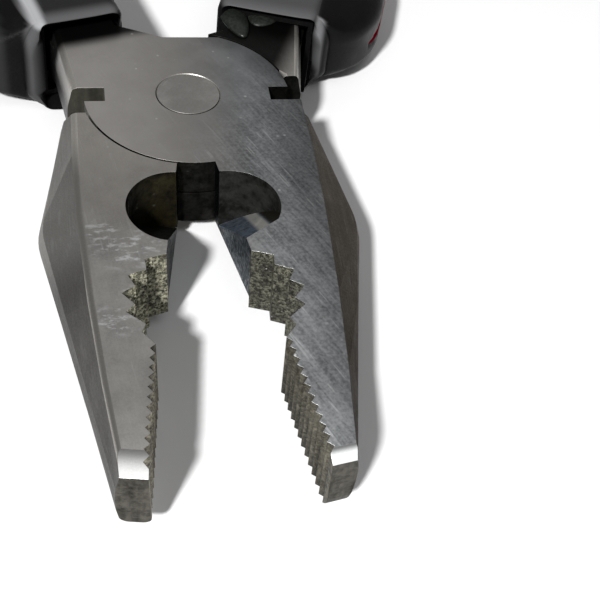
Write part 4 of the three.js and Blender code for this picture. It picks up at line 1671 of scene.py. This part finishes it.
@dataclass
class Studio:
    """Floor, lamps, sky and camera. The eye and the floor's height are in millimetres."""

    floor_z: float = -2.2
    floor_half: float = 3.0
    floor_colour: Colour = (0.82, 0.82, 0.82)
    bench_colour: Colour = (0.2, 0.2, 0.2)
    floor_rough: float = 0.9
    lamps: Tuple[Lamp, ...] = (
        Lamp("key_lamp", place=(-0.355, -0.577, 0.658), size=0.08, watts=13.3),
        Lamp("top_lamp", place=(0.17, -0.32, 0.83), size=0.45, watts=0.8),
        Lamp("back_panel", place=(0.17, 0.58, 0.67), size=0.85, watts=0.6),
    )
    sky: float = 0.17
    eye: Place = (-10.93, -95.35, 83.27)
    right: Place = (0.9812, -0.1556, 0.1119)
    up: Place = (0.0441, 0.7517, 0.6580)
    lens: float = 63.9
    sensor: float = 36.0
    clip: Span = (0.002, 20.0)

    def build(self) -> None:
        """Puts the floor, the lamps, the sky and the camera into the scene."""
        self.floor()
        for lamp in self.lamps:
            self.hang(lamp)
        self.world()
        self.camera()
        bpy.context.scene.view_settings.view_transform = "Standard"

    def floor(self) -> None:
        """A plain floor under the grips, pale to the eye and in mirrors, darker in what it gives back."""
        half, z = self.floor_half, self.floor_z * MM
        corners = [(-half, -half, z), (half, -half, z), (half, half, z), (-half, half, z)]
        mesh = bpy.data.meshes.new("floor")
        mesh.from_pydata(corners, [], [(0, 1, 2, 3)])
        material, sheet, shader = NodeSheet.material("floor_paint")
        ray = sheet.add("ShaderNodeLightPath").outputs
        mirrored = sheet.math("MAXIMUM", ray["Is Glossy Ray"], ray["Is Transmission Ray"])
        seen = sheet.math("MAXIMUM", ray["Is Camera Ray"], mirrored)
        colour = sheet.mix(seen, rgba(self.bench_colour), rgba(self.floor_colour))
        sheet.put(colour, shader.inputs["Base Color"])
        shader.inputs["Roughness"].default_value = self.floor_rough
        shader.inputs["Specular IOR Level"].default_value = 0.0
        mesh.materials.append(material)
        new_object("floor", mesh)

    def hang(self, lamp: Lamp) -> None:
        """Hangs a lamp so that it points at the pivot.

        Args:
            lamp: the lamp.
        """
        light = bpy.data.lights.new(lamp.name, "AREA")
        light.shape = "DISK"
        light.size = lamp.size
        light.energy = lamp.watts
        spot = np.array(lamp.place)
        ahead = spot / np.linalg.norm(spot)
        beside = np.cross([0.0, 1.0, 0.0], ahead)
        beside = beside / np.linalg.norm(beside)
        over = np.cross(ahead, beside)
        new_object(lamp.name, light).matrix_world = self.pose(beside, over, ahead, spot)

    def world(self) -> None:
        """Makes an even grey sky."""
        world = bpy.data.worlds.new("studio_sky")
        world.use_nodes = True
        sky = world.node_tree.nodes["Background"]
        sky.inputs["Color"].default_value = (1.0, 1.0, 1.0, 1.0)
        sky.inputs["Strength"].default_value = self.sky
        bpy.context.scene.world = world

    def camera(self) -> None:
        """Puts the camera at the photograph's place, worked out from the head's outline."""
        data = bpy.data.cameras.new("camera")
        data.lens = self.lens
        data.sensor_width = self.sensor
        data.clip_start, data.clip_end = self.clip
        camera = new_object("camera", data)
        right = np.array(self.right) / np.linalg.norm(self.right)
        back = np.cross(right, self.up)
        back = back / np.linalg.norm(back)
        eye = np.array(self.eye) * MM
        camera.matrix_world = self.pose(right, np.cross(back, right), back, eye)
        bpy.context.scene.camera = camera

    @staticmethod
    def pose(x: Array, y: Array, z: Array, place: Array) -> Matrix:
        """A matrix with the given axes and place.

        Args:
            x: unit X axis.
            y: unit Y axis.
            z: unit Z axis.
            place: origin in metres.

        Returns:
            The matrix.
        """
        rows = np.eye(4)
        rows[:3] = np.stack([x, y, z, place], axis=1)
        return Matrix(rows.tolist())


def scaled(colour: Colour, gain: float) -> Colour:
    """A colour made lighter or darker by a factor."""
    return (min(colour[0] * gain, 1.0), min(colour[1] * gain, 1.0), min(colour[2] * gain, 1.0))


def gained(finish: SteelFinish, gain: float) -> SteelFinish:
    """A steel whose two mottled colours are made lighter or darker by a factor."""
    return replace(finish, dark=scaled(finish.dark, gain), light=scaled(finish.light, gain))


# Turn of each half from closed to the rest opening
UPPER_REST = math.radians(9.345)
LOWER_REST = math.radians(9.05)

# Plastics of the grips
# The cover's pale sheen colour is painted sheen, laid on where the mesh's tone is high
COVER = PlasticFinish(
    "cover_black", colour=(0.004, 0.004, 0.0042), dusty=(0.06, 0.06, 0.058), dust_share=0.06,
    painted_sheen_colour=(0.3, 0.302, 0.31), shine=0.06)
STRIPE = PlasticFinish(
    "stripe_red", colour=(0.3, 0.006, 0.02), dusty=(0.3, 0.05, 0.07), dust_share=0.05, shine=0.0)
FLASH = PlasticFinish(
    "flash_grey", colour=(0.006, 0.0075, 0.006), dusty=(0.04, 0.045, 0.038), dust_share=0.3, shine=0.3)
LINER = PlasticFinish(
    "liner_black", colour=(0.002, 0.002, 0.002), dusty=(0.02, 0.02, 0.018), rough=0.7, smooth=0.55,
    shine=0.1)

# Steels that both forgings share, and the rivet's
RIVET = SteelFinish(
    "rivet_ground", dark=(0.26, 0.253, 0.24), light=(0.4, 0.392, 0.375), line_turn=0.5, line_share=0.1,
    grain_share=0.15, brush_share=0.1, bump=0.1, speck_share=0.4)
NOSE = SteelFinish(
    "nose", dark=(0.018, 0.016, 0.012), light=(0.128, 0.12, 0.101), metallic=0.6, smooth=0.4, rough=0.6,
    grain_scale=1700.0, broad_scale=520.0, grain_share=0.3, brush_share=0.35, brush_scale=1500.0,
    brush_stretch=9.0, line_tilt=QUARTER_TURN, line_share=0.0, bump=0.4, bump_depth=0.00005, edge=0.5)
# Dark: painted shade in the hollow of the cutter's pocket
POCKET = SteelFinish(
    "pocket", dark=(0.003, 0.0026, 0.0016), light=(0.048, 0.048, 0.044), metallic=0.6, smooth=0.4,
    rough=0.65, grain_scale=2200.0, broad_scale=520.0, grain_share=0.2, brush_share=0.1, line_share=0.0,
    speck_share=0.12, bump=0.5, edge=0.3)
TEETH = SteelFinish(
    "teeth", dark=(0.004, 0.0038, 0.002), light=(0.42, 0.41, 0.3), metallic=0.4, smooth=0.45, rough=0.75,
    grain_scale=3100.0, broad_scale=700.0, grain_share=0.85, brush_share=0.15, brush_scale=1600.0,
    brush_stretch=10.0, line_tilt=QUARTER_TURN, line_share=0.0, speck_scale=2300.0, speck_share=0.6,
    bump=0.9, bump_depth=0.0001, stain=(0.008, 0.007, 0.003), stain_share=0.75)
SERRATION = SteelFinish(
    "serration", dark=(0.02, 0.018, 0.01), light=(0.38, 0.35, 0.27), metallic=0.5, grain_scale=2600.0,
    broad_scale=500.0, grain_share=0.5, brush_share=0.4, brush_scale=1800.0, brush_stretch=14.0,
    line_tilt=QUARTER_TURN, line_share=0.0, bump=0.7, bump_depth=0.00008, stain=(0.02, 0.018, 0.01),
    stain_share=0.6, edge=0.5)
# The blue is temper colour; the shades are painted shade, darker towards the tip and near black by the
# slot
BLADE = SteelFinish(
    "blade", dark=(0.015, 0.028, 0.04), light=(0.32, 0.39, 0.43), metallic=0.7, smooth=0.25, rough=0.5,
    grain_scale=1900.0, broad_scale=460.0, stain=(0.06, 0.09, 0.16), stain_share=0.5, speck_share=0.5,
    brush_share=0.0, grain_share=0.65, edge=0.4,
    shades=(Shade(-20.0, 1.0, -26.0, 0.45), Shade(-15.8, 1.0, -13.2, 0.06)))
# Near black: the lap joint's dark seam, and painted shade on the walls round the joint, slot and crotch
JOINT = SteelFinish(
    "joint", dark=(0.0012, 0.0012, 0.001), light=(0.018, 0.0176, 0.0152), metallic=0.8, smooth=0.4,
    rough=0.65, grain_scale=2400.0, broad_scale=620.0, grain_share=0.3, brush_share=0.1, line_share=0.0,
    speck_share=0.1, edge=0.4)
# Painted shade in the notch: a dark colour, darker still towards its inner end
NOTCH = SteelFinish(
    "notch", dark=(0.002, 0.002, 0.001), light=(0.125, 0.122, 0.096), metallic=0.6, smooth=0.4, rough=0.6,
    grain_scale=2200.0, grain_share=0.1, brush_share=0.9, brush_scale=520.0, brush_stretch=6.0,
    line_tilt=QUARTER_TURN, line_share=0.0, shades=(Shade(-8.9, 1.0, -7.7, 0.3, Axis.X),))
# Pale: painted highlight on the rounded edges of the shanks and the lower jaw's ridge
STRIP = SteelFinish(
    "strip", dark=(0.5, 0.48, 0.445), light=(0.68, 0.65, 0.6), smooth=0.3, rough=0.45, line_share=0.0,
    bump=0.1)


@dataclass(frozen=True)
class SteelSet:
    """The finishes that one forging has for itself, and how it departs from the shared ones."""

    side: str
    ground: SteelFinish
    heel: SteelFinish
    flank: SteelFinish
    floor: SteelFinish
    tip: SteelFinish
    shank: SteelFinish
    # Painted light and shade that differ from half to half: lit crests and shaded valleys on the
    # serrations, gains that lighten or darken the teeth, serrations and blade, the pocket's light colour,
    # and the strip's shades
    crest_painted_shade: Shade
    teeth_painted_light_gain: float
    serration_painted_light_gain: float
    blade_painted_light_gain: float
    pocket_light: Colour = POCKET.light
    strip_shades: Tuple[Shade, ...] = ()

    def zones(self) -> Dict[Zone, SteelFinish]:
        """The forging's finish for each zone, with the side's word before the shared ones' names.

        Returns:
            The finishes by zone.
        """
        shared = {
            Zone.NOSE: NOSE,
            Zone.POCKET: replace(POCKET, light=self.pocket_light),
            Zone.TEETH: gained(TEETH, self.teeth_painted_light_gain),
            Zone.SERRATION: replace(gained(SERRATION, self.serration_painted_light_gain), shades=(self.crest_painted_shade,)),
            Zone.BLADE: replace(gained(BLADE, self.blade_painted_light_gain),
                                stain=scaled(BLADE.stain, self.blade_painted_light_gain)),
            Zone.JOINT: JOINT,
            Zone.NOTCH: NOTCH,
            Zone.STRIP: replace(STRIP, shades=self.strip_shades),
        }
        finishes = {zone: replace(finish, name=f"{self.side}_{finish.name}")
                    for zone, finish in shared.items()}
        finishes.update({
            Zone.GROUND: self.ground,
            Zone.HEEL: self.heel,
            Zone.FLANK: self.flank,
            Zone.FLOOR: self.floor,
            Zone.TIP: self.tip,
            Zone.SHANK: self.shank,
        })
        return finishes


# Turns of the lines along which the steel changes: where the right cheek begins to be brushed, its
# back, where a painted shadow lies by the right hood, and the painted shadow in the left and the
# right mouth
CHEEK_SLANT = 0.547
CHEEK_BACK_SHADOW_SLANT = 0.785
LEFT_MOUTH_SLANT = -0.29
RIGHT_MOUTH_SLANT = -1.17
# Painted shadow and reflection of each hood on the steel under it
LEFT_HOOD_PAINTED_SHADOW = Shade(11.2, 1.0, 13.3, 0.02, turn=LEFT_MOUTH_SLANT)
RIGHT_HOOD_PAINTED_SHADOW = Shade(-10.6, 0.9, -7.2, 0.02, turn=RIGHT_MOUTH_SLANT)

UPPER_GROUND = SteelFinish(
    "upper_ground", dark=(0.16, 0.168, 0.174), light=(0.54, 0.552, 0.562), stain=(0.3, 0.32, 0.34),
    stain_share=0.1, grain_scale=3000.0, grain_share=0.35, brush_share=0.42, brush_scale=2900.0,
    brush_stretch=15.0, broad_scale=330.0, line_turn=-0.45, line_share=0.4, speck_share=0.9,
    grain_where=Shade(2.0, 0.15, 10.5, 1.0, Axis.X, CHEEK_SLANT),
    brush_where=Shade(2.0, 0.1, 10.5, 1.0, Axis.X, CHEEK_SLANT),
    bands=(Band(-30.0, 3.0, 9.0, (0.37, 0.345, 0.318), 0.75, Axis.X),),
    # Painted light and shade: lighter on the left cheek and darker at the right shoulder, lighter down the
    # jaw and just above the tip's bevel, a painted shadow at the cheek's back by the right hood, and the
    # left hood's painted shadow
    shades=(Shade(-12.0, 1.2, 6.0, 0.66, Axis.X), Shade(6.5, 1.0, 12.0, 0.54, Axis.X),
            Shade(-10.0, 1.0, -38.0, 1.6), Shade(-41.5, 1.0, -47.0, 1.4),
            Shade(7.6, 1.0, 11.3, 0.6, turn=CHEEK_BACK_SHADOW_SLANT), LEFT_HOOD_PAINTED_SHADOW))
LOWER_GROUND = SteelFinish(
    "lower_ground", dark=(0.33, 0.32, 0.305), light=(0.57, 0.56, 0.54), stain=(0.42, 0.39, 0.35),
    stain_share=0.3, grain_share=0.2, brush_share=0.1, line_turn=-0.15, line_share=0.12, speck_share=0.6,
    bands=(Band(-21.0, 30.0, 8.0, (0.4, 0.372, 0.335), 0.5),),
    scuffs=(Scuff(-7.6, -23.7, 4.8, 1.0), Scuff(-10.6, -21.4, 3.0, 0.8), Scuff(-9.6, -32.6, 3.2, 0.8),
            Scuff(-7.4, -29.0, 2.2, 0.5)),
    # Painted light and shade: darker from the joint onto the jaw, lighter towards the tip and just above
    # the tip's bevel
    shades=(Shade(-4.0, 1.0, -14.0, 0.84), Shade(-20.0, 0.9, -41.0, 1.04),
            Shade(-41.0, 1.0, -46.6, 1.25)))
UPPER_STEEL = SteelSet(
    "upper",
    ground=UPPER_GROUND,
    heel=replace(UPPER_GROUND, name="upper_heel"),
    # Painted shade: a darker level than the lower flank's, darker still towards the tip
    flank=SteelFinish(
        "upper_flank", dark=(0.1, 0.09, 0.078), light=(0.205, 0.186, 0.165), smooth=0.4, rough=0.6,
        stain=(0.13, 0.105, 0.08), stain_share=0.4, line_share=0.1, edge=0.35,
        shades=(Shade(-14.0, 0.9, -40.0, 0.5),)),
    floor=SteelFinish(
        "upper_floor", dark=(0.02, 0.03, 0.042), light=(0.26, 0.32, 0.38), metallic=0.7, smooth=0.3,
        rough=0.5, grain_scale=1900.0, broad_scale=460.0, grain_share=0.6, brush_share=0.0,
        line_share=0.0, stain=(0.08, 0.1, 0.17), stain_share=0.4,
        # Over the blue temper colour: a pale band, a painted highlight along the pocket's rim, and a dark
        # band past it, painted shade
        bands=(Band(5.1, 6.3, 0.5, (0.8, 0.77, 0.7), 0.6, Axis.X),
               Band(6.4, 30.0, 0.5, (0.02, 0.018, 0.012), 1.0, Axis.X))),
    # Near white and fading in across the bevel: painted highlight on the tip's bevel
    tip=SteelFinish(
        "upper_tip", dark=(0.74, 0.76, 0.76), light=(0.92, 0.93, 0.92), metallic=0.5, smooth=0.3,
        rough=0.45, line_share=0.0, brush_share=0.1, bump=0.1,
        shades=(Shade(-48.35, 0.2, -48.9, 1.15, turn=-UPPER_REST),)),
    # Pale near the top, near black lower down and by the hood: painted light and shade on the left shank's
    # side in the mouth
    shank=SteelFinish(
        "upper_shank", dark=(0.42, 0.41, 0.39), light=(0.58, 0.57, 0.55), metallic=0.6, line_share=0.0,
        shades=(Shade(5.0, 0.02, 7.8, 1.0, Axis.Z), LEFT_HOOD_PAINTED_SHADOW)),
    crest_painted_shade=Shade(0.1, 1.9, 0.65, 0.3, Axis.X, -UPPER_REST),
    teeth_painted_light_gain=0.5, serration_painted_light_gain=0.31, blade_painted_light_gain=0.46, strip_shades=(LEFT_HOOD_PAINTED_SHADOW,))
LOWER_STEEL = SteelSet(
    "lower",
    ground=LOWER_GROUND,
    # Under the right hood: the painted shadow and reflection of the hood
    heel=replace(LOWER_GROUND, name="lower_heel", scuffs=(), shades=(RIGHT_HOOD_PAINTED_SHADOW,)),
    # Painted shade: darker past the belly's ridge towards the tip, where this facet mirrors the bright
    # floor
    flank=SteelFinish(
        "lower_flank", dark=(0.24, 0.235, 0.225), light=(0.36, 0.355, 0.34), smooth=0.4, rough=0.55,
        stain=(0.24, 0.23, 0.21), stain_share=0.3, line_share=0.1, edge=0.6,
        shades=(Shade(-19.0, 0.87, -28.0, 0.38),)),
    # Near black: painted shade on the floor of the left jaw's pocket
    floor=SteelFinish(
        "lower_floor", dark=(0.0033, 0.0036, 0.0028), light=(0.0165, 0.0176, 0.0143), metallic=0.6,
        smooth=0.4, rough=0.65, grain_scale=2200.0, line_share=0.0, edge=0.3),
    # Near white and fading in across the bevel: painted highlight on the tip's bevel
    tip=SteelFinish(
        "lower_tip", dark=(0.4, 0.4, 0.39), light=(0.52, 0.52, 0.51), metallic=0.6, smooth=0.3,
        rough=0.45, line_share=0.0, brush_share=0.1, bump=0.1,
        shades=(Shade(-47.2, 0.3, -49.2, 1.75, turn=LOWER_REST),)),
    # Near black: painted shade on the right shank's side in the mouth
    shank=SteelFinish(
        "lower_shank", dark=(0.02, 0.018, 0.015), light=(0.06, 0.055, 0.048), line_share=0.0),
    crest_painted_shade=Shade(-0.1, 1.5, -0.65, 0.4, Axis.X, LOWER_REST),
    teeth_painted_light_gain=1.85, serration_painted_light_gain=0.88, blade_painted_light_gain=0.14, pocket_light=(0.03, 0.026, 0.011),
    strip_shades=(Shade(-6.0, 1.0, -14.0, 0.5),))


def main() -> None:
    """Builds the pliers and the studio in order."""
    logging.basicConfig(level=logging.INFO, format="%(message)s")
    groups = SurfaceGroups()
    halves = (
        ForgedHalf("upper_half", Body.UPPER, UPPER_REST, flipped=False, finishes=UPPER_STEEL.zones()),
        ForgedHalf("lower_half", Body.LOWER, LOWER_REST, flipped=True, finishes=LOWER_STEEL.zones(),
                   strip_width=0.45, ridge_width=0.4, tip_round=0.8, tip_cut=BevelOn.CORNERS),
    )
    grips = (
        # Each cover's tones are its painted sheen and highlights, set for its own side
        Grip(Side.LEFT, Body.UPPER, UPPER_REST, COVER, STRIPE, LINER,
             GripTones(hood=0.035, rim=0.27, ridge=1.0, guard=0.07), front=13.1, guard_front=14.2,
             guard_rise=5.5, rake_outer=0.6, rake_inner=3.0, inner_front=5.6),
        Grip(Side.RIGHT, Body.LOWER, LOWER_REST, COVER, STRIPE, LINER,
             GripTones(hood=0.17, rim=0.26, column=0.75, column_width=1.0), front=14.2,
             guard_front=15.2, guard_rise=11.0, rake_outer=4.0, inner_front=7.6, stripe_start=20.5,
             stripe_width=2.8),
    )
    pieces = [half.build(groups) for half in halves]
    pieces.append(PivotRivet(RIVET).build(groups))
    for grip in grips:
        pieces += grip.build(groups)
    pieces += MouthFlash(Body.LOWER, FLASH).build(groups)
    for piece in pieces:
        LOG.info("%s: %d faces", piece.name, len(piece.data.polygons))
    Studio().build()


if __name__ == "__main__":
    main()
